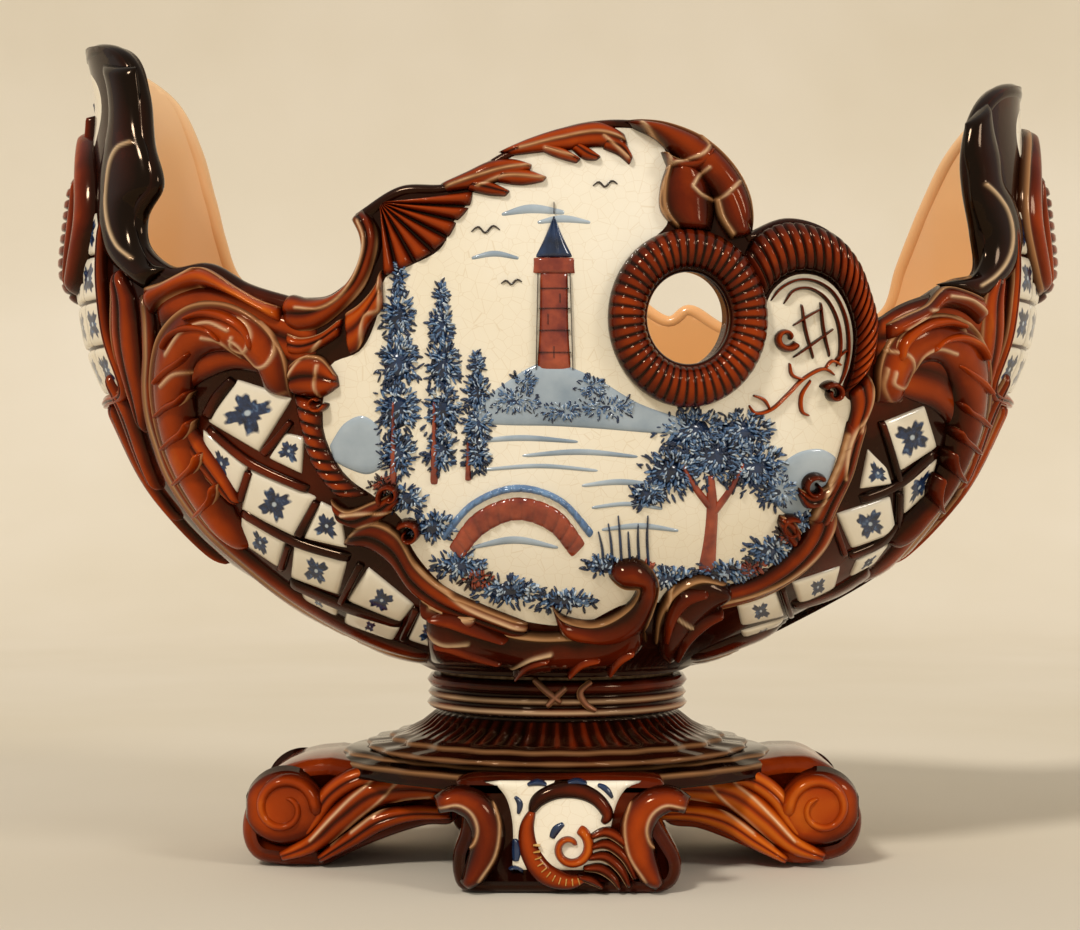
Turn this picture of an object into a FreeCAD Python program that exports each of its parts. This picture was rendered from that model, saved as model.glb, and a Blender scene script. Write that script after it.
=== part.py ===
"""Boat-shaped majolica jardiniere on a scroll-footed pedestal, with a lift-out metal liner.

The frame is in millimetres, +Z up, with the painted front towards -Y. The origin is on the floor, under the
centre of the pedestal. The bowl and the pedestal are separate castings held by a bolt through the bowl floor.
The bowl comes from three moulds, and the scrolls and leaves are moulded apart and stuck to it with slip.
"""
import FreeCAD
import Part
import math
import os

Vector = FreeCAD.Vector

# Pedestal
FOOT_HEIGHT = 52.0
FOOT_LENGTH = 180.0
FOOT_WIDTH = 90.0
FOOT_VOLUTE_RADIUS = 30.0
FOOT_FLAT_DEPTH = 2.0
FOOT_INNER_REACH = 56.0
FOOT_TOE_REACH = 134.0
FOOT_ARCH_RISE = 11.0
FOOT_CROTCH_HEIGHT = 27.0
BLOCK_REACH = 124.0
BLOCK_DEPTH = 58.0
BLOCK_HALF_WIDTH = 61.0
BLOCK_TOP_HALF_WIDTH = 54.0
BLOCK_SIDE_HOLLOW = 9.0
PLINTH_THICKNESS = 14.0
PLINTH_HALF_LENGTH = 136.0
PLINTH_HALF_DEPTH = 112.0
PLINTH_TOP_INSET = 8.0
PLINTH_BORE_RADIUS = 58.0
PLINTH_LOBE_SHARE = 0.035
STEM_HEIGHT = 44.0
STEM_COLLAR_HEIGHT = 22.0
STEM_COLLAR_RADIUS = 122.0
STEM_NECK_RADIUS = 70.0
STEM_WEB = 18.0
STEM_BORE_RADIUS = 52.0
BAND_REEDS = 3

# Bowl
BOWL_HEIGHT = 372.0
BOWL_HALF_LENGTH = 285.0
BOWL_HALF_DEPTH = 150.0
BOWL_WALL = 9.0
BOWL_FLOOR = 12.0
BOWL_SEAM_HEIGHT = 83.0
SEAT_RADIUS = 76.0
SPIGOT_RADIUS = 30.0
SPIGOT_DEPTH = 7.0
PIERCED_HOLE_RADIUS = 23.0

# Moulded ornament
RING_RADIUS = 32.0
RING_THICKNESS = 8.0
SCROLL_HALF_WIDTH = 20.0
SCROLL_RELIEF = 12.0
PROW_SCROLL_REACH = 15.0
PROW_SCROLL_HALF_WIDTH = 26.0

# Bolted joint
BOLT_RADIUS = 5.0
BOLT_HEAD_ACROSS_FLATS = 17.0
BOLT_HEAD_HEIGHT = 6.5
BOLT_END_LENGTH = 6.0
COUNTERBORE_RADIUS = 18.0
SEAL_RADIUS = 16.0
SEAL_THICKNESS = 2.0
WASHER_RADIUS = 15.0
WASHER_THICKNESS = 2.0
NUT_WASHER_RADIUS = 22.0
NUT_WASHER_THICKNESS = 3.0
NUT_ACROSS_FLATS = 17.0
NUT_HEIGHT = 9.0
BEDDING_THICKNESS = 2.0
BEDDING_MARGIN = 3.0

# Liner
LINER_HEIGHT = 158.0
LINER_SHEET = 1.2
LINER_CLEARANCE = 10.0
LINER_BASE_RADIUS = 58.0
LINER_BEAD_RADIUS = 2.5
HANDLE_WIRE_RADIUS = 2.0
HANDLE_WIDTH = 56.0
HANDLE_DROP = 30.0
HANDLE_CORNER = 7.0
HANDLE_STANDOFF = 22.0
HANDLE_BELOW_RIM = 14.0
HANDLE_LEAN_DEG = 30.0
LUG_LENGTH = 26.0
LUG_HALF_HEIGHT = 4.5

# Clearances
SLIP_JOINT = 0.2
BOLT_CLEARANCE = 0.5
THREAD_CLEARANCE = 0.05
PIVOT_CLEARANCE = 0.08
SPIGOT_CLEARANCE = 0.5
CUT_OVERRUN = 20.0

# Heights above the floor
PLINTH_TOP = FOOT_HEIGHT + PLINTH_THICKNESS
STEM_TOP = PLINTH_TOP + STEM_HEIGHT
SEAT_Z = STEM_TOP + BEDDING_THICKNESS
FLOOR_Z = SEAT_Z + BOWL_FLOOR
TIP_Z = SEAT_Z + BOWL_HEIGHT
BOLT_SEAT_Z = SEAT_Z
WEB_UNDERSIDE_Z = STEM_TOP - STEM_WEB

# Hull sections: height, half-length and half-depth, each as a share of the bowl's own size
HULL_LEVEL_SHARES = [
    (0.0, 0.0, 0.0),
    (0.075, 0.28, 0.32),
    (0.156, 0.54, 0.58),
    (0.27, 0.755, 0.82),
    (0.40, 0.885, 0.96),
    (0.51, 0.975, 1.0),
    (0.59, 1.0, 1.0),
    (0.75, 0.985, 0.945),
    (0.90, 0.96, 0.865),
    (1.02, 1.005, 0.84),
]

# Rim of the front wall from the left tip to the right, in smooth stretches that meet at corners. Each point is
# a share of the half-length and a share of the bowl's height.
FRONT_RIM_SHARES = [
    [(-1.08, 0.99), (-0.97, 0.985), (-0.885, 0.955), (-0.84, 0.89), (-0.82, 0.81), (-0.797, 0.74),
     (-0.832, 0.695), (-0.825, 0.65), (-0.76, 0.612), (-0.68, 0.613), (-0.60, 0.58), (-0.505, 0.556)],
    [(-0.505, 0.556), (-0.435, 0.558), (-0.375, 0.592), (-0.348, 0.637), (-0.377, 0.677)],
    [(-0.377, 0.677), (-0.295, 0.714), (-0.20, 0.718), (-0.09, 0.765), (0.05, 0.804), (0.17, 0.806),
     (0.27, 0.782), (0.345, 0.72), (0.364, 0.648)],
    [(0.364, 0.648), (0.435, 0.67), (0.51, 0.657), (0.575, 0.60), (0.61, 0.525)],
    [(0.61, 0.525), (0.70, 0.555), (0.78, 0.592), (0.845, 0.61), (0.838, 0.67), (0.822, 0.735), (0.822, 0.80),
     (0.85, 0.862), (0.90, 0.902), (0.98, 0.927), (1.08, 0.93)],
]

# Rim of the back wall, from the left tip to the right
BACK_RIM_SHARES = [
    [(-1.08, 0.99), (-0.97, 0.985), (-0.88, 0.948), (-0.822, 0.87), (-0.795, 0.79), (-0.775, 0.722),
     (-0.745, 0.655), (-0.66, 0.60), (-0.50, 0.60), (-0.34, 0.635), (-0.16, 0.65)],
    [(-0.16, 0.65), (0.0, 0.668), (0.16, 0.65)],
    [(0.16, 0.65), (0.27, 0.594), (0.315, 0.614), (0.40, 0.578), (0.56, 0.56), (0.70, 0.565), (0.765, 0.60),
     (0.79, 0.67), (0.836, 0.768), (0.88, 0.846), (0.93, 0.895), (0.98, 0.927), (1.08, 0.93)],
]

# Scrolls stuck on the hull. Each station is a place on the hull (share of the half-length, share of the
# height), then a half-width and a relief, as shares of SCROLL_HALF_WIDTH and SCROLL_RELIEF.
SCROLL_SHARES = {
    "crest_scroll": [(0.10, 0.787, 0.3, 0.35), (0.18, 0.775, 0.6, 0.6), (0.262, 0.742, 0.95, 0.95),
                     (0.305, 0.69, 1.0, 0.95), (0.305, 0.645, 0.75, 0.8), (0.292, 0.615, 0.3, 0.4)],
    "shell_scroll": [(0.367, 0.575, 0.25, 0.5), (0.378, 0.61, 0.45, 0.8), (0.425, 0.635, 0.6, 1.0),
                     (0.49, 0.63, 0.65, 1.0), (0.545, 0.585, 0.6, 0.95), (0.575, 0.52, 0.5, 0.8),
                     (0.575, 0.46, 0.35, 0.6), (0.558, 0.42, 0.2, 0.4)],
    "fan_shell": [(-0.36, 0.672, 0.35, 0.5), (-0.325, 0.668, 0.75, 0.6), (-0.275, 0.657, 1.1, 0.55),
                  (-0.225, 0.645, 1.2, 0.2)],
    "left_frame_scroll": [(-0.40, 0.535, 0.5, 0.5), (-0.445, 0.49, 0.5, 0.6), (-0.455, 0.42, 0.45, 0.6),
                          (-0.435, 0.34, 0.5, 0.6), (-0.385, 0.275, 0.65, 0.7), (-0.31, 0.215, 0.55, 0.65),
                          (-0.23, 0.165, 0.4, 0.5)],
    "right_frame_scroll": [(0.60, 0.45, 0.3, 0.4), (0.575, 0.39, 0.5, 0.65), (0.54, 0.325, 0.5, 0.65),
                           (0.475, 0.255, 0.45, 0.6), (0.40, 0.205, 0.45, 0.6), (0.31, 0.175, 0.3, 0.4)],
    "left_shoulder_leaf": [(-0.735, 0.40, 0.3, 0.4), (-0.755, 0.47, 0.6, 0.7), (-0.715, 0.535, 0.75, 0.85),
                           (-0.64, 0.535, 0.75, 0.85), (-0.575, 0.495, 0.65, 0.75), (-0.555, 0.435, 0.45, 0.6)],
    "right_shoulder_leaf": [(0.79, 0.37, 0.3, 0.4), (0.80, 0.44, 0.6, 0.7), (0.765, 0.50, 0.75, 0.85),
                            (0.70, 0.495, 0.75, 0.85), (0.655, 0.45, 0.55, 0.7), (0.655, 0.395, 0.35, 0.5)],
    "apron_scroll": [(-0.20, 0.105, 0.4, 0.5), (-0.10, 0.085, 0.65, 0.9), (0.0, 0.08, 0.7, 1.1),
                     (0.10, 0.10, 0.65, 1.1), (0.175, 0.15, 0.6, 1.0), (0.185, 0.20, 0.45, 0.8)],
}

# Scrolls of the front that the back repeats
REPEATED_SCROLLS = ("left_frame_scroll", "right_frame_scroll", "left_shoulder_leaf", "right_shoulder_leaf")

# Broad bands along the rim under the two tips, in the same shares, on the front and the back
TIP_BAND_SHARES = {
    "left_tip_band": [(-0.895, 0.94, 0.45, 0.35), (-0.878, 0.885, 0.7, 0.5), (-0.872, 0.82, 0.8, 0.55),
                      (-0.88, 0.75, 0.9, 0.55), (-0.882, 0.69, 0.8, 0.55), (-0.86, 0.64, 0.7, 0.5),
                      (-0.82, 0.605, 0.45, 0.35)],
    "right_tip_band": [(0.865, 0.87, 0.45, 0.35), (0.85, 0.815, 0.65, 0.5), (0.858, 0.755, 0.75, 0.55),
                       (0.882, 0.70, 0.85, 0.55), (0.885, 0.645, 0.85, 0.55), (0.86, 0.605, 0.7, 0.5),
                       (0.815, 0.575, 0.45, 0.35)],
}

# Ribs between the end panels and the wide panels, the same on all four corners of the hull
RIB_SHARES = [(0.855, 0.575, 0.35, 0.5), (0.86, 0.50, 0.4, 0.6), (0.845, 0.42, 0.4, 0.6), (0.80, 0.33, 0.4, 0.55),
              (0.71, 0.235, 0.35, 0.5), (0.57, 0.15, 0.3, 0.4)]

# Scroll down the middle of each end: height, reach beyond the hull, half-width and thickness as shares
PROW_SCROLL_SHARES = [(0.80, 0.15, 0.25, 0.4), (0.755, 0.45, 0.6, 0.7), (0.70, 0.7, 0.9, 0.9),
                      (0.655, 0.75, 1.0, 0.9), (0.615, 0.5, 0.8, 0.8), (0.585, 0.2, 0.4, 0.5)]

PIERCED_HOLE_SHARES = (0.243, 0.525)
SECTION_POINTS = 8
FULL_TURN = 2 * math.pi


def hull_axes(level, inset=0.0):
    """Half-length and half-depth of the hull at one level of the table, drawn in by inset."""
    _, length_share, depth_share = level
    half_length = SEAT_RADIUS + length_share * (BOWL_HALF_LENGTH - SEAT_RADIUS)
    half_depth = SEAT_RADIUS + depth_share * (BOWL_HALF_DEPTH - SEAT_RADIUS)
    return half_length - inset, half_depth - inset


def hull_axes_at(height, inset=0.0):
    """Half-length and half-depth at a height above the seat, between the levels of the table."""
    share = height / BOWL_HEIGHT
    for low, high in zip(HULL_LEVEL_SHARES, HULL_LEVEL_SHARES[1:]):
        if share <= high[0]:
            break
    along = (share - low[0]) / (high[0] - low[0])
    pairs = zip(hull_axes(low, inset), hull_axes(high, inset))
    return tuple(a + along * (b - a) for a, b in pairs)


def ellipse_wire(half_length, half_depth, z):
    """Ellipse in a level plane, as a wire. The half-length is along X."""
    centre = Vector(0, 0, z)
    if half_length >= half_depth:
        ends = Vector(half_length, 0, z), Vector(0, half_depth, z)
    else:
        ends = Vector(0, half_depth, z), Vector(-half_length, 0, z)
    return Part.Wire(Part.Ellipse(*ends, centre).toShape())


def stacked_loft(sections):
    """Solid through level ellipses, given as (half-length, half-depth, z)."""
    return Part.makeLoft([ellipse_wire(*section) for section in sections], True)


def hull_solid(inset=0.0, lift=0.0):
    """The hull as a full solid up to the tips, drawn in by inset and raised by lift."""
    sections = []
    for level in HULL_LEVEL_SHARES:
        half_length, half_depth = hull_axes(level, inset)
        sections.append((half_length, half_depth, SEAT_Z + lift + level[0] * BOWL_HEIGHT))
    return stacked_loft(sections)


def spline_edge(points):
    """Smooth edge through points."""
    curve = Part.BSplineCurve()
    curve.interpolate(points)
    return curve.toShape()


def polygon_face(points):
    """Flat face with straight sides."""
    return Part.Face(Part.makePolygon(points + points[:1]))


def above_rim(rim_shares, side):
    """Prism over one half of the bowl that holds everything above its rim. Side is -1 at the front."""
    edges = []
    for stretch in rim_shares:
        points = [Vector(x * BOWL_HALF_LENGTH, 0, SEAT_Z + z * BOWL_HEIGHT) for x, z in stretch]
        edges.append(spline_edge(points))
    first = edges[0].firstVertex().Point
    last = edges[-1].lastVertex().Point
    top = TIP_Z + CUT_OVERRUN + BOWL_FLOOR
    corners = [last, Vector(last.x, 0, top), Vector(first.x, 0, top), first]
    edges += [Part.makeLine(a, b) for a, b in zip(corners, corners[1:])]
    face = Part.Face(Part.Wire(edges))
    return face.extrude(Vector(0, side * (BOWL_HALF_DEPTH + CUT_OVERRUN), 0))


def cylinder(radius, bottom, top):
    """Upright cylinder on the pedestal's axis."""
    return Part.makeCylinder(radius, top - bottom, Vector(0, 0, bottom))


def washer(radius, hole, bottom, thickness):
    """Flat ring on the pedestal's axis."""
    top = bottom + thickness
    return cylinder(radius, bottom, top).cut(cylinder(hole, bottom - CUT_OVERRUN, top + CUT_OVERRUN))


def hexagon(across_flats, bottom, height):
    """Upright hexagonal prism on the pedestal's axis."""
    radius = across_flats / math.sqrt(3)
    turns = [FULL_TURN * i / 6 for i in range(6)]
    points = [Vector(radius * math.cos(t), radius * math.sin(t), bottom) for t in turns]
    return polygon_face(points).extrude(Vector(0, 0, height))


class Hull:
    """The outside of the bowl, grown by the slip joint, on which ornament is placed and cut."""

    def __init__(self):
        self.solid = hull_solid(-SLIP_JOINT)
        self.wall = max(self.solid.Faces, key=lambda face: face.Area)

    def place(self, x_share, z_share):
        """Point and outward normal on the front of the hull."""
        x, z = x_share * BOWL_HALF_LENGTH, SEAT_Z + z_share * BOWL_HEIGHT
        middle = Vector(x, 0, z)
        outside = Vector(x, -BOWL_HALF_DEPTH - CUT_OVERRUN, z)
        inside = Part.makeLine(middle, outside).common(self.solid)
        point = max((v.Point for v in inside.Vertexes), key=lambda p: abs(p.y))
        u, v = self.wall.Surface.parameter(point)
        normal = self.wall.normalAt(u, v)
        if normal.dot(point - Vector(0, 0, z)) < 0:
            normal = normal * -1
        return point, normal


def oval_section(point, across, out, half_width, relief):
    """Closed smooth section about a point, half_width along across and relief along out."""
    turns = [FULL_TURN * i / SECTION_POINTS for i in range(SECTION_POINTS)]
    points = [point + across * (half_width * math.cos(t)) + out * (relief * math.sin(t)) for t in turns]
    curve = Part.BSplineCurve()
    curve.interpolate(Points=points, PeriodicFlag=True)
    return Part.Wire(curve.toShape())


def swept_scroll(places):
    """Solid through oval sections at places, each (point, outward normal, half-width, relief)."""
    sections = []
    for i, (point, out, half_width, relief) in enumerate(places):
        along = places[min(i + 1, len(places) - 1)][0] - places[max(i - 1, 0)][0]
        across = along.cross(out).normalize()
        level = across.cross(along).normalize()
        sections.append(oval_section(point, across, level, half_width, relief))
    return Part.makeLoft(sections, True)


def mirrored(shape, normal):
    """Mirror image of a shape in the plane through the origin with this normal."""
    return shape.mirror(Vector(0, 0, 0), normal)


def hull_scroll(hull, stations):
    """Scroll lying on the front of the hull, cut to sit on it."""
    places = []
    for x_share, z_share, width_share, relief_share in stations:
        point, normal = hull.place(x_share, z_share)
        places.append((point, normal, width_share * SCROLL_HALF_WIDTH, relief_share * SCROLL_RELIEF))
    return swept_scroll(places).cut(hull.solid)


def prow_scroll(hull):
    """Scroll down the middle of the right end of the hull."""
    places = []
    for z_share, reach_share, width_share, relief_share in PROW_SCROLL_SHARES:
        half_length, _ = hull_axes_at(z_share * BOWL_HEIGHT)
        x = half_length + reach_share * PROW_SCROLL_REACH - PROW_SCROLL_REACH / 2
        point = Vector(x, 0, SEAT_Z + z_share * BOWL_HEIGHT)
        width = width_share * PROW_SCROLL_HALF_WIDTH
        places.append((point, Vector(1, 0, 0), width, relief_share * PROW_SCROLL_REACH))
    return swept_scroll(places).cut(hull.solid)


def hole_axis(hull):
    """Centre of the pierced hole on the hull, and the way out of it."""
    return hull.place(*PIERCED_HOLE_SHARES)


def whole_bowl(hull):
    """Whole bowl: hull, shaped rim, pierced hole, floor, counterbore and spigot."""
    shell = hull_solid().cut(hull_solid(BOWL_WALL, BOWL_FLOOR))
    shell = shell.cut(above_rim(FRONT_RIM_SHARES, -1)).cut(above_rim(BACK_RIM_SHARES, 1))
    point, out = hole_axis(hull)
    reach = BOWL_WALL + CUT_OVERRUN
    shell = shell.cut(Part.makeCylinder(PIERCED_HOLE_RADIUS, 2 * reach, point - out * reach, out))
    shell = shell.fuse(cylinder(SPIGOT_RADIUS, SEAT_Z - SPIGOT_DEPTH, SEAT_Z)).removeSplitter()
    shell = shell.cut(cylinder(BOLT_RADIUS + BOLT_CLEARANCE, SEAT_Z - SPIGOT_DEPTH - CUT_OVERRUN, FLOOR_Z))
    return shell.cut(cylinder(COUNTERBORE_RADIUS, BOLT_SEAT_Z, FLOOR_Z + CUT_OVERRUN))


def bowl_castings(hull):
    """The bowl as its three moulds give it, to be stuck together with slip: base dish, front and back walls."""
    bowl = whole_bowl(hull)
    reach = BOWL_HALF_LENGTH + CUT_OVERRUN
    seam_z = SEAT_Z + BOWL_SEAM_HEIGHT
    wall_height = TIP_Z + CUT_OVERRUN - seam_z
    moulds = {
        "bowl_base": Part.makeBox(2 * reach, 2 * reach, seam_z, Vector(-reach, -reach, 0)),
        "bowl_front_wall": Part.makeBox(2 * reach, reach, wall_height, Vector(-reach, -reach, seam_z)),
        "bowl_back_wall": Part.makeBox(2 * reach, reach, wall_height, Vector(-reach, 0, seam_z)),
    }
    return {name: bowl.common(mould) for name, mould in moulds.items()}


def ring_scroll(hull):
    """Rolled ring round the pierced hole."""
    point, out = hole_axis(hull)
    return Part.makeTorus(RING_RADIUS, RING_THICKNESS, point, out).cut(hull.solid)


def bowl_ornament(hull):
    """Every scroll and leaf on the bowl by name, each cut back where it meets one made before it."""
    made = {"ring_scroll": ring_scroll(hull)}
    for name, stations in SCROLL_SHARES.items():
        made[name] = hull_scroll(hull, stations)
    to_left, to_back = Vector(1, 0, 0), Vector(0, 1, 0)
    made["back_apron_scroll"] = mirrored(mirrored(made["apron_scroll"], to_left), to_back)
    for name in REPEATED_SCROLLS:
        made[f"back_{name}"] = mirrored(made[name], to_back)
    made["front_right_rib"] = hull_scroll(hull, RIB_SHARES)
    made["front_left_rib"] = mirrored(made["front_right_rib"], to_left)
    made["back_right_rib"] = mirrored(made["front_right_rib"], to_back)
    made["back_left_rib"] = mirrored(made["front_left_rib"], to_back)
    made["right_prow_scroll"] = prow_scroll(hull)
    made["left_prow_scroll"] = mirrored(made["right_prow_scroll"], to_left)
    for name, stations in TIP_BAND_SHARES.items():
        band = hull_scroll(hull, stations)
        made[f"front_{name}"] = band.cut(above_rim(FRONT_RIM_SHARES, -1))
        made[f"back_{name}"] = mirrored(band, to_back).cut(above_rim(BACK_RIM_SHARES, 1))
    names = list(made)
    for i, name in enumerate(names):
        for earlier in names[:i]:
            if made[name].BoundBox.intersect(made[earlier].BoundBox):
                made[name] = made[name].cut(made[earlier])
        made[name] = max(made[name].Solids, key=lambda solid: solid.Volume)
    return made


def stem_profile():
    """Half-section of the stem's outside, from the plinth up: flared collar, then the reeded band."""
    neck_z = PLINTH_TOP + STEM_COLLAR_HEIGHT
    flare = STEM_COLLAR_RADIUS - STEM_NECK_RADIUS
    curve_radius = (flare ** 2 + STEM_COLLAR_HEIGHT ** 2) / (2 * STEM_COLLAR_HEIGHT)
    half_turn = math.asin(flare / curve_radius) / 2
    start = Vector(STEM_COLLAR_RADIUS, 0, PLINTH_TOP)
    rise = curve_radius * (1 - math.cos(half_turn))
    middle = Vector(STEM_COLLAR_RADIUS - curve_radius * math.sin(half_turn), 0, PLINTH_TOP + rise)
    neck = Vector(STEM_NECK_RADIUS, 0, neck_z)
    edges = [Part.Arc(start, middle, neck).toShape()]
    reed = (STEM_TOP - neck_z) / BAND_REEDS
    shoulder = Vector(SEAT_RADIUS - reed / 2, 0, neck_z)
    edges.append(Part.makeLine(neck, shoulder))
    for i in range(BAND_REEDS):
        low = Vector(shoulder.x, 0, neck_z + i * reed)
        bulge = Vector(SEAT_RADIUS, 0, low.z + reed / 2)
        edges.append(Part.Arc(low, bulge, Vector(shoulder.x, 0, low.z + reed)).toShape())
    return edges


def pedestal_stem():
    """Hollow stem with a web under the bowl and a recess for the bowl's spigot."""
    edges = stem_profile()
    first, last = edges[0].firstVertex().Point, edges[-1].lastVertex().Point
    corners = [last, Vector(0, 0, STEM_TOP), Vector(0, 0, PLINTH_TOP), first]
    edges += [Part.makeLine(a, b) for a, b in zip(corners, corners[1:])]
    solid = Part.Face(Part.Wire(edges)).revolve(Vector(0, 0, 0), Vector(0, 0, 1), 360)
    recess = SPIGOT_DEPTH + SPIGOT_CLEARANCE
    solid = solid.cut(cylinder(STEM_BORE_RADIUS, PLINTH_TOP - CUT_OVERRUN, WEB_UNDERSIDE_Z))
    solid = solid.cut(cylinder(SPIGOT_RADIUS + SPIGOT_CLEARANCE, STEM_TOP - recess, STEM_TOP + CUT_OVERRUN))
    return solid.cut(cylinder(BOLT_RADIUS + BOLT_CLEARANCE, WEB_UNDERSIDE_Z - CUT_OVERRUN, STEM_TOP))


def plinth_wire(inset, z):
    """Lobed outline of the plinth."""
    points = []
    for i in range(4 * SECTION_POINTS):
        turn = FULL_TURN * i / (4 * SECTION_POINTS)
        swell = 1 + PLINTH_LOBE_SHARE * (math.cos(4 * turn) - 1)
        x = (PLINTH_HALF_LENGTH - inset) * swell * math.cos(turn)
        y = (PLINTH_HALF_DEPTH - inset) * swell * math.sin(turn)
        points.append(Vector(x, y, z))
    curve = Part.BSplineCurve()
    curve.interpolate(Points=points, PeriodicFlag=True)
    return Part.Wire(curve.toShape())


def plinth():
    """Lobed slab that carries the stem, open in the middle."""
    slab = Part.makeLoft([plinth_wire(0, FOOT_HEIGHT), plinth_wire(PLINTH_TOP_INSET, PLINTH_TOP)], True, True)
    return slab.cut(cylinder(PLINTH_BORE_RADIUS, FOOT_HEIGHT - CUT_OVERRUN, PLINTH_TOP + CUT_OVERRUN))


def scroll_foot(side):
    """Foot that runs out along X to a volute standing on a small flat. Side is -1 at the left."""
    centre = Vector(side * (FOOT_LENGTH - FOOT_VOLUTE_RADIUS), -FOOT_WIDTH / 2, FOOT_VOLUTE_RADIUS - FOOT_FLAT_DEPTH)
    across = Vector(0, FOOT_WIDTH, 0)
    volute = Part.makeCylinder(FOOT_VOLUTE_RADIUS, FOOT_WIDTH, centre, Vector(0, 1, 0))
    toe = Vector(side * FOOT_TOE_REACH, centre.y, 0)
    crotch = Vector(side * FOOT_INNER_REACH, centre.y, FOOT_CROTCH_HEIGHT)
    inner_top = Vector(crotch.x, centre.y, FOOT_HEIGHT)
    arch = Vector(side * (FOOT_INNER_REACH + FOOT_TOE_REACH) / 2, centre.y, FOOT_ARCH_RISE)
    shoulder = Vector(side * (PLINTH_HALF_LENGTH - PLINTH_TOP_INSET), centre.y, FOOT_HEIGHT)
    edges = [Part.Arc(toe, arch, crotch).toShape(), Part.makeLine(crotch, inner_top)]
    edges.append(Part.makeLine(inner_top, shoulder))
    under_volute = Vector(centre.x, centre.y, 0)
    edges += [Part.makeLine(shoulder, centre), Part.makeLine(centre, under_volute)]
    edges.append(Part.makeLine(under_volute, toe))
    leg = Part.Face(Part.Wire(edges)).extrude(across)
    below = Part.makeBox(2 * FOOT_LENGTH, 2 * FOOT_WIDTH, CUT_OVERRUN)
    below.translate(Vector(-FOOT_LENGTH, -FOOT_WIDTH, -CUT_OVERRUN))
    return volute.fuse(leg).cut(below).cut(plinth()).removeSplitter()


def block_foot(side):
    """Foot with hollow sides under the middle of the front (side -1) or the back."""
    face_y = side * BLOCK_REACH
    half = [(BLOCK_HALF_WIDTH, 0), (BLOCK_TOP_HALF_WIDTH, FOOT_HEIGHT)]
    (low_x, low_z), (high_x, high_z) = half
    right_low, right_high = Vector(low_x, face_y, low_z), Vector(high_x, face_y, high_z)
    left_low, left_high = Vector(-low_x, face_y, low_z), Vector(-high_x, face_y, high_z)
    waist = (low_x + high_x) / 2 - BLOCK_SIDE_HOLLOW
    edges = [Part.Arc(right_low, Vector(waist, face_y, FOOT_HEIGHT / 2), right_high).toShape()]
    edges.append(Part.makeLine(right_high, left_high))
    edges.append(Part.Arc(left_high, Vector(-waist, face_y, FOOT_HEIGHT / 2), left_low).toShape())
    edges.append(Part.makeLine(left_low, right_low))
    return Part.Face(Part.Wire(edges)).extrude(Vector(0, -side * BLOCK_DEPTH, 0))


def bolted_joint():
    """Bolt, seal and washers, nut and the bedding ring between bowl and stem."""
    washer_z = BOLT_SEAT_Z + SEAL_THICKNESS
    head_z = washer_z + WASHER_THICKNESS
    nut_washer_z = WEB_UNDERSIDE_Z - NUT_WASHER_THICKNESS
    nut_z = nut_washer_z - NUT_HEIGHT
    hole = BOLT_RADIUS + BOLT_CLEARANCE
    shank = cylinder(BOLT_RADIUS, nut_z - BOLT_END_LENGTH, head_z)
    nut = hexagon(NUT_ACROSS_FLATS, nut_z, NUT_HEIGHT)
    bedding = SEAT_RADIUS - BEDDING_MARGIN - (STEM_TOP - PLINTH_TOP - STEM_COLLAR_HEIGHT) / BAND_REEDS / 2
    return {
        "tie_bolt": hexagon(BOLT_HEAD_ACROSS_FLATS, head_z, BOLT_HEAD_HEIGHT).fuse(shank).removeSplitter(),
        "bolt_seal": washer(SEAL_RADIUS, hole, BOLT_SEAT_Z, SEAL_THICKNESS),
        "bolt_washer": washer(WASHER_RADIUS, hole, washer_z, WASHER_THICKNESS),
        "nut_washer": washer(NUT_WASHER_RADIUS, hole, nut_washer_z, NUT_WASHER_THICKNESS),
        "hex_nut": nut.cut(cylinder(BOLT_RADIUS + THREAD_CLEARANCE, nut_z - CUT_OVERRUN, nut_washer_z + CUT_OVERRUN)),
        "bedding_ring": washer(bedding, SPIGOT_RADIUS + SPIGOT_CLEARANCE, STEM_TOP, BEDDING_THICKNESS),
    }


def liner_sections(inset):
    """Ellipses of the liner's outside, drawn in by inset, from its floor up to its rim."""
    sections = [(LINER_BASE_RADIUS - inset, LINER_BASE_RADIUS - inset, FLOOR_Z + inset)]
    hull_inset = BOWL_WALL + LINER_CLEARANCE + inset
    for level in HULL_LEVEL_SHARES[1:]:
        height = level[0] * BOWL_HEIGHT
        if height < LINER_HEIGHT - BOWL_FLOOR:
            sections.append((*hull_axes(level, hull_inset), FLOOR_Z + inset + height))
    rim = (*hull_axes_at(LINER_HEIGHT, hull_inset), FLOOR_Z + LINER_HEIGHT)
    return sections + [rim]


def liner_inside():
    """The space that the liner's sheet encloses."""
    return stacked_loft(liner_sections(LINER_SHEET))


def liner_pan():
    """Sheet-metal pan with a rolled rim."""
    half_length, half_depth, rim_z = liner_sections(0)[-1]
    path = ellipse_wire(half_length, half_depth, rim_z)
    circle = Part.Circle(Vector(half_length, 0, rim_z), Vector(0, 1, 0), LINER_BEAD_RADIUS)
    bead = path.makePipeShell([Part.Wire(circle.toShape())], True, True)
    inside = liner_inside()
    return stacked_loft(liner_sections(0)).cut(inside).fuse(bead).removeSplitter()


def handle_pivot(side):
    """Middle of one handle's pivot bar. Side is -1 at the left."""
    half_length, _, rim_z = liner_sections(LINER_SHEET)[-1]
    return Vector(side * (half_length - HANDLE_STANDOFF), 0, rim_z - HANDLE_BELOW_RIM)


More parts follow.
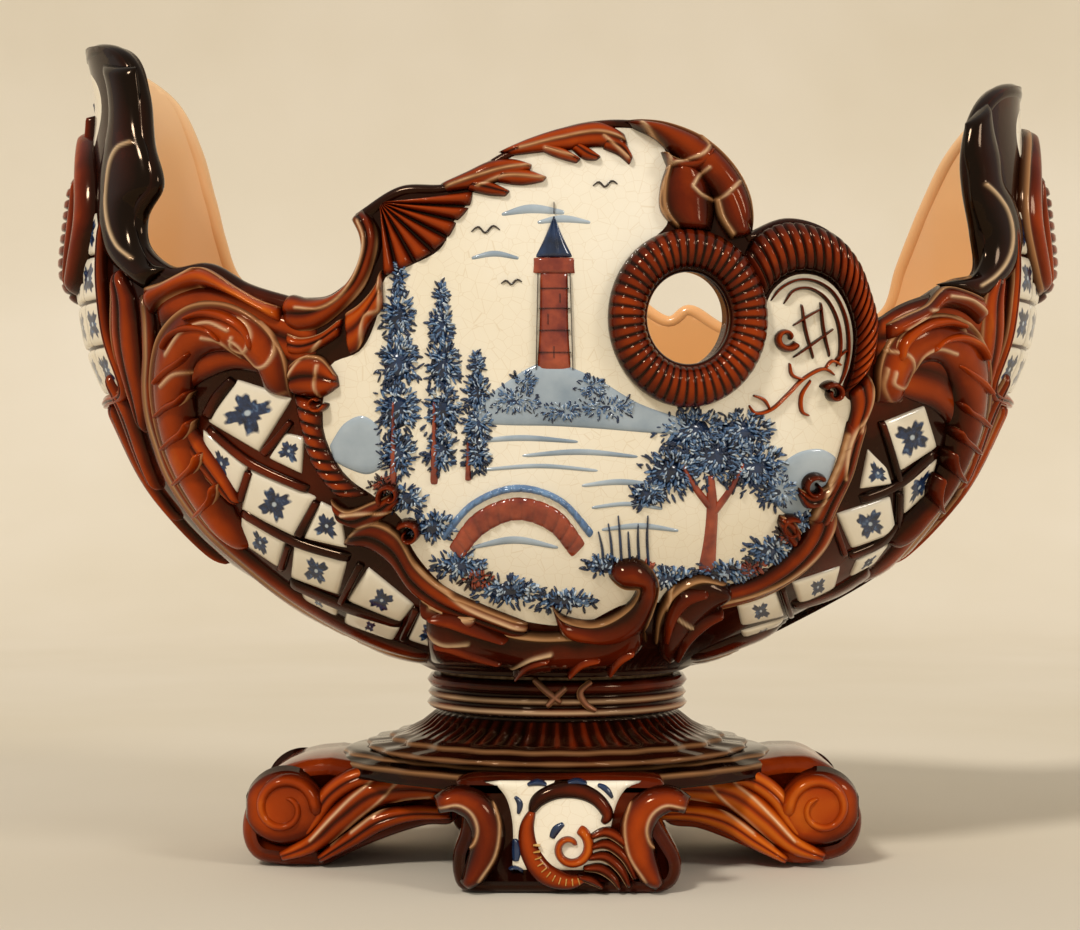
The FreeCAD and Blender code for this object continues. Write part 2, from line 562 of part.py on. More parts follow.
def handle_lug(side):
    """Bearing for a handle, soldered inside the liner's end wall."""
    pivot = handle_pivot(side)
    reach = HANDLE_STANDOFF + CUT_OVERRUN + LUG_HALF_HEIGHT
    box = Part.makeBox(reach, LUG_LENGTH, 2 * LUG_HALF_HEIGHT)
    start = pivot.x - LUG_HALF_HEIGHT if side > 0 else pivot.x + LUG_HALF_HEIGHT - reach
    box.translate(Vector(start, -LUG_LENGTH / 2, pivot.z - LUG_HALF_HEIGHT))
    radius = HANDLE_WIRE_RADIUS + PIVOT_CLEARANCE
    bore = Part.makeCylinder(radius, 2 * LUG_LENGTH, pivot - Vector(0, LUG_LENGTH, 0), Vector(0, 1, 0))
    return box.cut(bore).common(liner_inside())


def liner_handle(side):
    """Wire loop that turns in its lug and hangs against the liner's wall."""
    half = HANDLE_WIDTH / 2
    top, low = 0.0, -HANDLE_DROP
    square = [Vector(0, -half, top), Vector(0, half, top), Vector(0, half, low), Vector(0, -half, low)]
    edges = []
    for i, corner in enumerate(square):
        before = (square[i - 1] - corner).normalize()
        after = (square[(i + 1) % 4] - corner).normalize()
        start, end = corner + before * HANDLE_CORNER, corner + after * HANDLE_CORNER
        centre = corner + (before + after) * HANDLE_CORNER
        middle = centre + (corner - centre).normalize() * HANDLE_CORNER
        following = square[(i + 1) % 4] - after * HANDLE_CORNER
        edges += [Part.Arc(start, middle, end).toShape(), Part.makeLine(end, following)]
    circle = Part.Circle(edges[1].firstVertex().Point, Vector(0, 1, 0), HANDLE_WIRE_RADIUS)
    path = Part.Wire(edges[1:] + edges[:1])
    loop = path.makePipeShell([Part.Wire(circle.toShape())], True, True)
    loop.rotate(Vector(0, 0, 0), Vector(0, 1, 0), side * HANDLE_LEAN_DEG)
    loop.translate(handle_pivot(side))
    return loop


def all_parts():
    """Every piece by the name of its file."""
    hull = Hull()
    parts = {**bowl_castings(hull), **bowl_ornament(hull)}
    parts.update({"pedestal_stem": pedestal_stem(), "plinth": plinth()})
    parts.update({"left_foot": scroll_foot(-1), "right_foot": scroll_foot(1)})
    parts.update({"front_foot": block_foot(-1), "back_foot": block_foot(1)})
    parts.update(bolted_joint())
    parts["liner_pan"] = liner_pan()
    for name, side in {"left": -1, "right": 1}.items():
        parts[f"{name}_handle_lug"] = handle_lug(side)
        parts[f"{name}_liner_handle"] = liner_handle(side)
    return parts


os.makedirs("parts", exist_ok=True)
for part_name, part_shape in all_parts().items():
    solids = part_shape.Solids
    size = part_shape.BoundBox
    print(part_name, len(solids), part_shape.isValid(), round(part_shape.Volume),
          [round(v, 1) for v in (size.XMin, size.XMax, size.YMin, size.YMax, size.ZMin, size.ZMax)])
    part_shape.exportStep(f"parts/{part_name}.step")
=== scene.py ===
"""Looks of a boat-shaped majolica jardiniere: glazed hull, moulded scrolls, pedestal and zinc liner.

Tables and sums are in millimetres and meshes in metres. A table whose name ends in PX holds pixels of the
1080 by 930 view, which are thrown onto the surface that carries them. Two lines are the edges of a ribbon of
clay, and a third value is the half-width of a stroke. The painted front faces -Y.
"""
import bpy
import math
import numpy as np
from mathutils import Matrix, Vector
from mathutils.geometry import delaunay_2d_cdt


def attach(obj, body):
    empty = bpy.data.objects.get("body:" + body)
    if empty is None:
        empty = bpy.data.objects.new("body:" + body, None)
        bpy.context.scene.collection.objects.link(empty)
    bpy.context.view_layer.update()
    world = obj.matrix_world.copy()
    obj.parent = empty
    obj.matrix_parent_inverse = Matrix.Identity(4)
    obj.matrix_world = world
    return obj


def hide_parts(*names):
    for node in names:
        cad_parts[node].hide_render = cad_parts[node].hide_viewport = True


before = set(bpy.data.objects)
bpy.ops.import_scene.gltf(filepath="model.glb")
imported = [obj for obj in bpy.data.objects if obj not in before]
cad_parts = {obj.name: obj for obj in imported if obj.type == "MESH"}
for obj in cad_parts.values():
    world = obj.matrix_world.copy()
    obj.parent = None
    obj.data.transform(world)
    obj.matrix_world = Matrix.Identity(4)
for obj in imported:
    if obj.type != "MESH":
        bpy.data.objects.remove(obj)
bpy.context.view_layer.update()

MM = 0.001
FULL_TURN = 2 * math.pi

# Camera
IMAGE_WIDTH_PX = 1080
IMAGE_HEIGHT_PX = 930
FOCAL_PX = 2000.0
AXIS_PX = 557.0
HORIZON_PX = 510.0
CAMERA_BACK = 1200.0
CAMERA_HEIGHT = 206.0

# Bowl, as in the solids
SEAT_Z = 112.0
FLOOR_Z = 124.0
BOWL_HEIGHT = 372.0
BOWL_HALF_LENGTH = 285.0
BOWL_HALF_DEPTH = 150.0
BOWL_WALL = 9.0
SEAT_RADIUS = 76.0
COUNTERBORE_RADIUS = 18.0
HOLE_RADIUS = 23.0
HOLE_SHARES = (0.243, 0.525)
HOLE_TALL_SHARE = 1.1
RING_RADIUS = 33.0
RING_THICKNESS = 10.0
RING_RIBS = 46
RING_RIB_DEPTH = 0.9
RING_TONE = 0.6
RING_LIFT_SHARE = 1.05
RING_SINK_SHARE = 0.45
RING_RISE_SHARES = (0.35, 0.65)
INNER_ROLL_GAP = 3.0
INNER_ROLL_THICKNESS = 4.0

BOWL_NODES = ["bowl_base", "bowl_front_wall", "bowl_back_wall"]

# Radius by which angles round the hull are laid out flat
UNROLLED_RADIUS = 190.0

# Kind of triangulation that keeps only what lies inside the outlines
INSIDE_ONLY = 1

# Height within which a point counts as on a level, and angle from which it counts as on the seam
LEVEL_MARGIN = 0.01
SEAM_TURN = 3.14159

# Mesh fineness
HULL_STEP = 4.0
RIM_STEP = 2.5
MERGE_DISTANCE = 0.001
HOLE_STEPS = 72
PICTURE_FIELD_STEPS = 300
LOWER_FIELD_STEPS = 150
SMOOTHING_STEPS = 6
THROW_ROUNDS = 60
STROKE_STEP_PX = 2.0
FEWEST_ROWS = 8
ROWS_PER_RIB = 8
COLUMNS_PER_RIDGE = 8
EDGE_COLUMNS = 3
UNDER_COLUMNS = 3
LINE_STEP_PX = 1.1
LINE_COLUMNS = (27, 45)
SPIRAL_STEP_DEG = 20
DISC_STEP_DEG = 15
DISC_STEPS = 5
ROLL_SIDES = 14
RING_SIDES = 28
TILE_STEPS = 15
STEM_STEPS = 512
PLINTH_STEPS = 360
FOOT_STEPS = 120
ROUNDING_STEPS = 5
SWEEP_STEPS = 12

# Height, half-length and half-depth of the hull's levels
HULL_LEVEL_SHARES = np.array([
    (0.0, 0.0, 0.0), (0.075, 0.28, 0.32), (0.156, 0.54, 0.58), (0.27, 0.755, 0.82), (0.40, 0.885, 0.96),
    (0.51, 0.975, 1.0), (0.59, 1.0, 1.0), (0.75, 0.985, 0.945), (0.90, 0.96, 0.865), (1.02, 1.005, 0.84),
])
LEFT_TIP_SHARE = 0.987
RIGHT_TIP_SHARE = 0.928
RIM_REACH_SHARE = 0.998
FRONT_RIM_SHARES = [
    [
        (-1.08, 0.99), (-0.97, 0.985), (-0.885, 0.955), (-0.84, 0.89), (-0.82, 0.81), (-0.797, 0.74),
        (-0.832, 0.695), (-0.825, 0.65), (-0.76, 0.612), (-0.68, 0.613), (-0.60, 0.58), (-0.505, 0.556),
    ],
    [(-0.505, 0.556), (-0.435, 0.558), (-0.375, 0.592), (-0.348, 0.637), (-0.377, 0.677)],
    [
        (-0.377, 0.677), (-0.295, 0.714), (-0.20, 0.718), (-0.09, 0.765), (0.05, 0.804), (0.17, 0.806),
        (0.27, 0.782), (0.345, 0.72), (0.364, 0.648),
    ],
    [(0.364, 0.648), (0.435, 0.67), (0.51, 0.657), (0.575, 0.60), (0.61, 0.525)],
    [
        (0.61, 0.525), (0.70, 0.555), (0.78, 0.592), (0.845, 0.61), (0.838, 0.67), (0.822, 0.735),
        (0.822, 0.80), (0.85, 0.862), (0.90, 0.902), (0.98, 0.927), (1.08, 0.93),
    ],
]
BACK_RIM_SHARES = [
    [
        (-1.08, 0.99), (-0.97, 0.985), (-0.88, 0.948), (-0.822, 0.87), (-0.795, 0.79), (-0.775, 0.722),
        (-0.745, 0.655), (-0.66, 0.60), (-0.50, 0.60), (-0.34, 0.635), (-0.16, 0.65),
    ],
    [(-0.16, 0.65), (0.0, 0.668), (0.16, 0.65)],
    [
        (0.16, 0.65), (0.27, 0.594), (0.315, 0.614), (0.40, 0.578), (0.56, 0.56), (0.70, 0.565),
        (0.765, 0.60), (0.79, 0.67), (0.836, 0.768), (0.88, 0.846), (0.93, 0.895), (0.98, 0.927),
        (1.08, 0.93),
    ],
]

# Thickness of the rolled rim along the front: share of the half-length, then half-height of the roll
RIM_ROLLS = [
    (-1.0, 5.5), (-0.86, 5.5), (-0.80, 5.5), (-0.62, 5.0), (-0.45, 6.0), (-0.37, 4.5), (-0.20, 3.2),
    (0.20, 3.2), (0.36, 4.0), (0.60, 4.0), (0.72, 5.0), (0.83, 5.5), (1.0, 5.5),
]
BACK_ROLL = 5.0
ROLL_SINK_SHARE = 0.7
BACK_ROLL_SINK_SHARE = 0.35
PEACH_ROLL_SHARE = 0.6
ROLL_OVERHANG = 1.0
ROLL_RISE_SHARES = (0.2, 0.3)
ROLL_TONE_SHARES = [0.7, 0.85]
ROLL_TONES = [0.45, 0.0]

# Forms that a stroke of clay can take
LEAF = {"relief": 6.5, "ridges": 2, "groove": 0.2, "lip": 0.7}
FAT_LEAF = {"relief": 10.0, "lip": 0.7}
RIDGE_POWER = 0.6
RIB_GROOVE_WIDTH = 0.4
LIP_PLACE = 0.84
LIP_WIDTH = 0.075
LIP_RISE_SHARE = 0.3
LINE_WIDTH_PX = 1.5
LINE_RISE_SHARE = 0.12
LINE_LIGHT = 0.8
LINE_FLANK_SHARE = 0.2
THIN_END_SHARE = 0.5
SPIRAL_THINNING_SHARE = 0.55

# Glaze of plain parts: how proud, how orange and how light
PLAIN_GLAZE = (0.5, 0.5, 0.0)
HULL_GLAZE = (0.4, 0.5, 0.0)
FLOOR_GLAZE = (0.25, 0.35, 0.0)
SCROLL_FOOT_GLAZE = (0.7, 0.7, 0.0)
BLOCK_GLAZE = (0.6, 0.4, 0.0)

# Signs of x, y and z for a piece as drawn, mirrored to the back and turned half round
AS_IT_IS = (1, 1, 1)
TO_THE_BACK = (1, -1, 1)
HALF_ROUND = (-1, -1, 1)


# Curves and surfaces

def hermite(x, xs, ys):
    """Smooth curve through the rows of ys at xs, read at x."""
    slopes = np.gradient(ys, xs, axis=0)
    i = np.clip(np.searchsorted(xs, x, side="right") - 1, 0, len(xs) - 2)
    span = (xs[i + 1] - xs[i])[:, None]
    t = (x[:, None] - xs[i][:, None]) / span
    start = (1 + 2 * t) * (1 - t) ** 2 * ys[i] + t * (1 - t) ** 2 * span * slopes[i]
    return start + t * t * (3 - 2 * t) * ys[i + 1] + t * t * (t - 1) * span * slopes[i + 1]


def line_length(points):
    """Length of a line of points, by its first two columns."""
    return float(np.linalg.norm(np.diff(np.asarray(points, float)[:, :2], axis=0), axis=1).sum())


def smooth_line(points, count):
    """Smooth curve through points, sampled evenly by its first two columns."""
    points = np.asarray(points, float)
    steps = np.sqrt(np.linalg.norm(np.diff(points[:, :2], axis=0), axis=1))
    knots = np.concatenate([[0.0], np.cumsum(steps)])
    dense = hermite(np.linspace(0, knots[-1], SMOOTHING_STEPS * count), knots, points)
    run = np.concatenate([[0.0], np.cumsum(np.linalg.norm(np.diff(dense[:, :2], axis=0), axis=1))])
    wanted = np.linspace(0, run[-1], count)
    return np.stack([np.interp(wanted, run, column) for column in dense.T], axis=1)


def hull_axes(z):
    """Half-length and half-depth of the hull's outside at heights z."""
    z = np.asarray(z, float)
    shares = hermite((z.ravel() - SEAT_Z) / BOWL_HEIGHT, HULL_LEVEL_SHARES[:, 0], HULL_LEVEL_SHARES[:, 1:])
    half_length = SEAT_RADIUS + shares[:, 0] * (BOWL_HALF_LENGTH - SEAT_RADIUS)
    half_depth = SEAT_RADIUS + shares[:, 1] * (BOWL_HALF_DEPTH - SEAT_RADIUS)
    return half_length.reshape(z.shape), half_depth.reshape(z.shape)


def round_axes(radius):
    """The same for an upright round band."""
    def axes(z):
        size = np.full(np.shape(z), float(radius))
        return size, size
    return axes


def oval_normals(points, axes):
    """Outward normals of a stack of ovals."""
    x, y, z = points.T
    a, b = axes(z)
    a_up, b_up = axes(z + 1)
    a_down, b_down = axes(z - 1)
    slope = x * x * (a_up - a_down) / 2 / a ** 3 + y * y * (b_up - b_down) / 2 / b ** 3
    normals = np.stack([x / a ** 2, y / b ** 2, -slope], axis=1)
    return normals / np.linalg.norm(normals, axis=1)[:, None]


def oval_ground(axes):
    """Function that throws pixels onto the front of a stack of ovals and gives points and normals."""
    def throw(pixels):
        across = (pixels[:, 0] - AXIS_PX) / FOCAL_PX
        up = (HORIZON_PX - pixels[:, 1]) / FOCAL_PX
        y = np.full(len(pixels), -BOWL_HALF_DEPTH / 2)
        for _ in range(THROW_ROUNDS):
            x, z = across * (CAMERA_BACK + y), CAMERA_HEIGHT + up * (CAMERA_BACK + y)
            a, b = axes(z)
            y = (y - b * np.sqrt(np.clip(1 - (x / a) ** 2, 0, 1))) / 2
        x, z = across * (CAMERA_BACK + y), CAMERA_HEIGHT + up * (CAMERA_BACK + y)
        a, _ = axes(z)
        points = np.stack([np.clip(x, -a, a), y, z], axis=1)
        return points, oval_normals(points, axes)
    return throw


def plane_ground(y):
    """Function that throws pixels onto an upright plane facing the front."""
    def throw(pixels):
        scale = (CAMERA_BACK + y) / FOCAL_PX
        x = (pixels[:, 0] - AXIS_PX) * scale
        z = CAMERA_HEIGHT + (HORIZON_PX - pixels[:, 1]) * scale
        points = np.stack([x, np.full(len(x), y), z], axis=1)
        return points, np.tile([0.0, -1.0, 0.0], (len(x), 1))
    return throw


def unrolled_ground(places):
    """Points and normals of the hull at places (run round the hull from its right end, height)."""
    turn, z = places[:, 0] / UNROLLED_RADIUS, places[:, 1]
    a, b = hull_axes(z)
    points = np.stack([a * np.cos(turn), -b * np.sin(turn), z], axis=1)
    return points, oval_normals(points, hull_axes)


hull_ground = oval_ground(hull_axes)


def inside(places, outline):
    """Which places lie inside a closed outline."""
    found = np.zeros(len(places), bool)
    x, y = places.T
    for (x0, y0), (x1, y1) in zip(outline, np.roll(outline, -1, axis=0)):
        if y0 != y1:
            crosses = (y0 > y) != (y1 > y)
            found ^= crosses & (x < (x1 - x0) * (y - y0) / (y1 - y0) + x0)
    return found


# Clay

def grid_faces(rows, columns, closed_rows=False, closed_columns=False):
    """Quads of a grid of points laid out row by row."""
    i = np.arange(rows if closed_rows else rows - 1)[:, None]
    j = np.arange(columns if closed_columns else columns - 1)[None, :]
    i_next, j_next = (i + 1) % rows, (j + 1) % columns
    corners = [i * columns + j, i_next * columns + j, i_next * columns + j_next, i * columns + j_next]
    return np.stack([np.broadcast_to(c, (len(i), j.shape[1])).ravel() for c in corners], axis=1)


class Clay:
    """Points, faces and glaze of one piece while it is put together."""

    def __init__(self):
        self.points, self.faces, self.kinds, self.glaze = [], [], [], []
        self.count = 0

    def add(self, points, faces, glaze=PLAIN_GLAZE, kind=0):
        """Adds points with their faces. Glaze is how proud, how orange and how light each point is."""
        self.points.append(points)
        self.glaze.append(np.broadcast_to(np.asarray(glaze, float), (len(points), 3)))
        self.add_faces([[i + self.count for i in face] for face in faces], kind)
        self.count += len(points)

    def add_faces(self, faces, kind):
        """Adds faces between points that are there already. Kind is the number of their material."""
        self.faces += [[int(i) for i in face] for face in faces]
        self.kinds += [kind] * len(faces)

    def add_flipped(self, other, sign):
        """Adds another piece of clay mirrored in x, y or both."""
        sign = np.asarray(sign, float)
        turned = sign.prod() < 0
        for points, glaze in zip(other.points, other.glaze):
            self.points.append(points * sign)
            self.glaze.append(glaze)
        for face in other.faces:
            moved = [i + self.count for i in face]
            self.faces.append(moved[::-1] if turned else moved)
        self.kinds += other.kinds
        self.count += other.count

    def finish(self, name, materials, slot, node=None, body="planter"):
        """Makes the piece, riding on its body and standing for its node."""
        mesh = bpy.data.meshes.new(name)
        mesh.from_pydata((np.concatenate(self.points) * MM).tolist(), [], self.faces)
        glaze = mesh.attributes.new("glaze", "FLOAT_VECTOR", "POINT")
        glaze.data.foreach_set("vector", np.concatenate(self.glaze).ravel())
        for material in materials:
            mesh.materials.append(material)
        mesh.polygons.foreach_set("material_index", self.kinds)
        mesh.shade_smooth()
        piece = bpy.data.objects.new(name, mesh)
        bpy.context.scene.collection.objects.link(piece)
        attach(piece, body)
        if node:
            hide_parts(*([node] if isinstance(node, str) else node))
        return piece


def finish_turned(clay, turn, name, material, slot, node=None):
    """Makes a piece from clay that is mirrored in x, y or both, or left as it is."""
    placed = Clay()
    placed.add_flipped(clay, turn)
    placed.finish(name, [material], slot, node)


def rib_heights(phases, ribs):
    """Height along a row of ribs: 1 on each rib and 0 in the grooves, or 1 all along where there are none."""
    if not ribs:
        return np.ones(len(phases))
    return 1 - np.exp(-(np.sin(phases) / RIB_GROOVE_WIDTH) ** 2)


def nearness(pixels, lines):
    """How near each pixel of a grid lies to the closest of some smooth lines, from 0 to 1."""
    marks = np.concatenate([smooth_line(line, int(line_length(line))) for line in lines])
    away = np.min(np.linalg.norm(pixels.reshape(-1, 1, 2) - marks[None], axis=2), axis=1)
    return np.exp(-(away.reshape(pixels.shape[:2]) / LINE_WIDTH_PX) ** 2)


def ribbon_faces(points, normals, rows, columns):
    """Faces of a closed ribbon and its two ends, all turned outward."""
    faces = grid_faces(rows, columns, closed_columns=True)
    a, b, _, d = (points[faces[:, k]] for k in range(4))
    outward = np.einsum("ij,ij->i", np.cross(b - a, d - a), normals[faces[:, 0]]).sum() > 0
    ends = [list(range(columns)), list(range((rows - 1) * columns, rows * columns))[::-1]]
    faces = faces.tolist() + ends
    return faces if outward else [face[::-1] for face in faces]


def lay(clay, ground, left, right, relief=4.0, ridges=1, ribs=0, groove=0.4, rib_groove=0.5, tone=0.5,
        light=0.0, crown=2.0, taper=0.1, sink=1.5, lip=0.0, lines=()):
    """Lays a ribbon of clay between two edges of equal count, with ridges along it and ribs across it.

    A lip is a thin light bead along the left edge. Lines are raised on it and left light.
    """
    rows, columns = len(left), COLUMNS_PER_RIDGE * ridges + EDGE_COLUMNS
    if lip or lines:
        broad = np.linalg.norm(right - left, axis=1).max()
        columns = int(np.clip(broad / LINE_STEP_PX, *LINE_COLUMNS))
    under = np.linspace(1, -1, UNDER_COLUMNS + 2)[1:-1]
    q = np.concatenate([np.linspace(-1, 1, columns), under])
    t = (q + 1) / 2
    pixels = left[:, None] * (1 - t)[None, :, None] + right[:, None] * t[None, :, None]
    points, normals = ground(pixels.reshape(-1, 2))
    body = np.sqrt(np.clip(1 - np.abs(q) ** crown, 0, 1))
    body[-UNDER_COLUMNS:] = 0
    ridge = np.abs(np.sin(math.pi * ridges * t)) ** RIDGE_POWER if ridges > 1 else body
    run = np.linspace(0, 1, rows)
    rib = rib_heights(math.pi * ribs * run, ribs)
    end = np.sqrt(1 - (1 - np.clip(np.minimum(run, 1 - run) / taper, 0, 1)) ** 2)
    height = (end * (1 - rib_groove * (1 - rib)))[:, None] * (body * (1 - groove * (1 - ridge)))[None, :]
    rise = (end ** 0.5 * rib)[:, None] * (body ** 0.5 * ridge)[None, :]
    bead = np.exp(-((q + LIP_PLACE) / LIP_WIDTH) ** 2) * (body > 0)
    height = height + LIP_RISE_SHARE * lip * end[:, None] * bead[None, :]
    lights = light + (1 - light) * lip * end[:, None] * bead[None, :]
    if lines:
        drawn = nearness(pixels, lines) * (body > LINE_FLANK_SHARE)[None, :] * end[:, None]
        lights = np.maximum(lights, LINE_LIGHT * drawn)
        height = height + LINE_RISE_SHARE * drawn
    points = points + normals * ((relief + sink) * height.ravel() - sink)[:, None]
    rise = np.maximum(rise, lights * end[:, None])
    glaze = np.stack([rise.ravel(), np.full(rise.size, tone), lights.ravel()], axis=1)
    clay.add(points, ribbon_faces(points, normals, rows, len(q)), glaze)


def steps_for(length, ribs=0):
    """How many rows a ribbon of this length needs."""
    return max(FEWEST_ROWS, int(length / STROKE_STEP_PX), ROWS_PER_RIB * ribs)


def ribbon(clay, ground, left, right, **form):
    """Ribbon of clay between two smooth edges."""
    count = steps_for(max(line_length(left), line_length(right)), form.get("ribs", 0))
    lay(clay, ground, smooth_line(left, count), smooth_line(right, count), **form)


def stroke(clay, ground, points, **form):
    """Ribbon of clay along points (x, y, half-width)."""
    line = smooth_line(points, steps_for(line_length(points), form.get("ribs", 0)))
    along = np.gradient(line[:, :2], axis=0)
    across = np.stack([-along[:, 1], along[:, 0]], axis=1)
    across /= np.linalg.norm(across, axis=1)[:, None]
    side = across * line[:, 2:3]
    lay(clay, ground, line[:, :2] + side, line[:, :2] - side, **form)


def strokes(clay, ground, several, **form):
    """Several strokes of one form."""
    for points in several:
        stroke(clay, ground, points, **form)


def thin(points, half_width):
    """Points of a thin line, drawn out at both ends."""
    shares = [THIN_END_SHARE] + [1.0] * (len(points) - 2) + [THIN_END_SHARE]
    return [(x, y, half_width * share) for (x, y), share in zip(points, shares)]


def spiral(centre, radius, start_deg, turn_deg, half_width, end_share=0.25):
    """Points of a volute that winds in towards its centre."""
    points = []
    count = max(FEWEST_ROWS, int(abs(turn_deg) / SPIRAL_STEP_DEG))
    for i in range(count + 1):
        t = i / count
        angle = math.radians(start_deg + turn_deg * t)
        reach = radius * (1 - (1 - end_share) * t)
        points.append((centre[0] + reach * math.cos(angle), centre[1] + reach * math.sin(angle),
                       half_width * (1 - SPIRAL_THINNING_SHARE * t)))
    return points


# Materials

COAT_ROUGHNESS = 0.04
# Brown glaze: how much drifts, tone and ridges weigh in its colour
BROAD_DRIFT = 0.9
FINE_DRIFT = 0.3
TONE_WEIGHT = 0.36
RISE_POWER = 1.4
RISE_WEIGHT = 0.5
MIDDLE_LEVEL = 0.5
# How strongly the crazing shows in the cream glaze, and the streaks in the peach one
CRAZING_SHARE = 0.35
STREAK_WEIGHT = 0.5
# Heights in metres between which the lining grows paler
PEACH_HEIGHTS = (0.28, 0.47)
# Rosette of a tile, in shares of the tile's half-width
PETALS = 4
NOTCHES = 12
FLOWER_SHARE = 0.36
PETAL_SHARE = 0.13
NOTCH_SHARE = 0.06
RAGGED_SHARE = 0.3
FLOWER_EDGE_SHARES = (-0.04, 0.05)
EYE_EDGE_SHARES = (0.11, 0.06)


def colour(code):
    """Linear colour from a hex code, by the sRGB curve."""
    parts = [int(code[i:i + 2], 16) / 255 for i in (0, 2, 4)]
    return (*[c / 12.92 if c <= 0.04045 else ((c + 0.055) / 1.055) ** 2.4 for c in parts], 1.0)


class Shader:
    """A material with one main shader and short ways to add nodes."""

    def __init__(self, name, roughness=0.12, coat=0.0, metallic=0.0, shine=0.5, tint="FFFFFF"):
        self.material = bpy.data.materials.new(name)
        self.material.use_nodes = True
        self.tree = self.material.node_tree
        self.surface = self.tree.nodes["Principled BSDF"]
        self.surface.inputs["Roughness"].default_value = roughness
        self.surface.inputs["Coat Weight"].default_value = coat
        self.surface.inputs["Coat Roughness"].default_value = COAT_ROUGHNESS
        self.surface.inputs["Metallic"].default_value = metallic
        self.surface.inputs["Specular IOR Level"].default_value = shine
        self.surface.inputs["Specular Tint"].default_value = colour(tint)
        self.place = self.node("ShaderNodeTexCoord").outputs["Object"]

    def node(self, kind, inputs=None, **settings):
        """Adds a node. Inputs are given by name or number, as values or as sockets to link."""
        made = self.tree.nodes.new(kind)
        for key, value in settings.items():
            setattr(made, key, value)
        for key, value in (inputs or {}).items():
            if isinstance(value, bpy.types.NodeSocket):
                self.tree.links.new(value, made.inputs[key])
            else:
                made.inputs[key].default_value = value
        return made

    def plain(self, operation, a, b=0.0, c=0.0, clamp=False):
        """Result of an operation on up to three numbers or sockets."""
        inputs = {0: a, 1: b, 2: c}
        return self.node("ShaderNodeMath", inputs, operation=operation, use_clamp=clamp).outputs[0]

    def math(self, operation, a, b=0.0, c=0.0):
        """The same, clamped to the range from 0 to 1."""
        return self.plain(operation, a, b, c, clamp=True)

    def spread(self, value, low, high):
        """Value carried from the range low to high over to 0 to 1."""
        return self.node("ShaderNodeMapRange", {"Value": value, 1: low, 2: high}).outputs[0]

    def split(self, vector):
        """The three parts of a vector or colour."""
        return self.node("ShaderNodeSeparateXYZ", {0: vector}).outputs

    def noise(self, scale, detail=3.0, vector=None):
        """Soft noise over the piece."""
        inputs = {"Scale": scale, "Detail": detail, "Vector": vector or self.place}
        return self.node("ShaderNodeTexNoise", inputs).outputs["Fac"]

    def ramp(self, value, stops):
        """Colour by value through stops (place, hex code)."""
        node = self.node("ShaderNodeValToRGB", {"Fac": value})
        elements = node.color_ramp.elements
        while len(elements) < len(stops):
            elements.new(0.5)
        for element, (place, code) in zip(elements, stops):
            element.position = place
            element.color = colour(code)
        return node.outputs["Color"]

    def mix(self, share, a, b, blend="MIX"):
        """Colour between two, each a socket or a hex code."""
        node = self.node("ShaderNodeMix", data_type="RGBA", blend_type=blend)
        for key, value in {0: share, 6: a, 7: b}.items():
            if isinstance(value, bpy.types.NodeSocket):
                self.tree.links.new(value, node.inputs[key])
            else:
                node.inputs[key].default_value = colour(value) if isinstance(value, str) else value
        return node.outputs[2]

    def glaze(self):
        """How proud, how orange and how light each point is."""
        vector = self.node("ShaderNodeAttribute", attribute_name="glaze").outputs["Vector"]
        return self.split(vector)

    def paint(self, base, bump=None, strength=0.1, distance=0.001):
        """Connects the colour and, if given, a bump height."""
        self.tree.links.new(base, self.surface.inputs["Base Color"])
        if bump is not None:
            inputs = {"Height": bump, "Strength": strength, "Distance": distance}
            normal = self.node("ShaderNodeBump", inputs).outputs["Normal"]
            self.tree.links.new(normal, self.surface.inputs["Normal"])
        return self.material


def brown_glaze():
    """Treacle-brown glaze that runs thin and orange on the ridges and pools black in the hollows."""
    s = Shader("brown_majolica_glaze", roughness=0.1, shine=0.25, tint="FFD8B4")
    rise, tone, light = s.glaze()[:3]
    fine_drift = s.math("MULTIPLY_ADD", s.noise(55.0, detail=4.0), FINE_DRIFT, -FINE_DRIFT / 2)
    drift = s.math("MULTIPLY_ADD", s.noise(11.0), BROAD_DRIFT, fine_drift)
    level = s.math("MULTIPLY_ADD", tone, TONE_WEIGHT, drift)
    proud = s.math("POWER", rise, RISE_POWER)
    value = s.math("MULTIPLY_ADD", proud, RISE_WEIGHT, s.plain("SUBTRACT", level, MIDDLE_LEVEL))
    stops = [(0.0, "0A0301"), (0.28, "260903"), (0.5, "5E1A05"), (0.74, "A03A08"), (1.0, "D06A18")]
    pale = s.ramp(rise, [(0.0, "5A2610"), (0.6, "C08A58"), (1.0, "E9C79C")])
    return s.paint(s.mix(light, s.ramp(value, stops), pale), s.noise(160.0), strength=0.05)


def cream_glaze():
    """Warm ivory tin glaze with faint crazing."""
    s = Shader("cream_tin_glaze", roughness=0.1, coat=0.5)
    cells = s.node("ShaderNodeTexVoronoi", {"Scale": 160.0, "Vector": s.place}, feature="DISTANCE_TO_EDGE")
    crazing = s.ramp(cells.outputs["Distance"], [(0.0, "D9C4A0"), (0.025, "FFFFFF")])
    tint = s.ramp(s.noise(9.0, detail=5.0), [(0.3, "EFE2C6"), (0.7, "F9F0DC")])
    return s.paint(s.mix(CRAZING_SHARE, tint, crazing, "MULTIPLY"), s.noise(60.0), strength=0.06)


def peach_glaze():
    """Salmon lining glaze, paler towards the rim."""
    s = Shader("peach_lining_glaze", roughness=0.2, coat=0.2)
    level = s.spread(s.split(s.place)["Z"], *PEACH_HEIGHTS)
    streak = s.math("MULTIPLY_ADD", s.noise(14.0, detail=5.0), STREAK_WEIGHT, -STREAK_WEIGHT / 2)
    base = s.ramp(s.math("ADD", level, streak), [(0.0, "F6B068"), (0.5, "F9BE80"), (1.0, "FCD09C")])
    return s.paint(base, s.noise(70.0), strength=0.05)


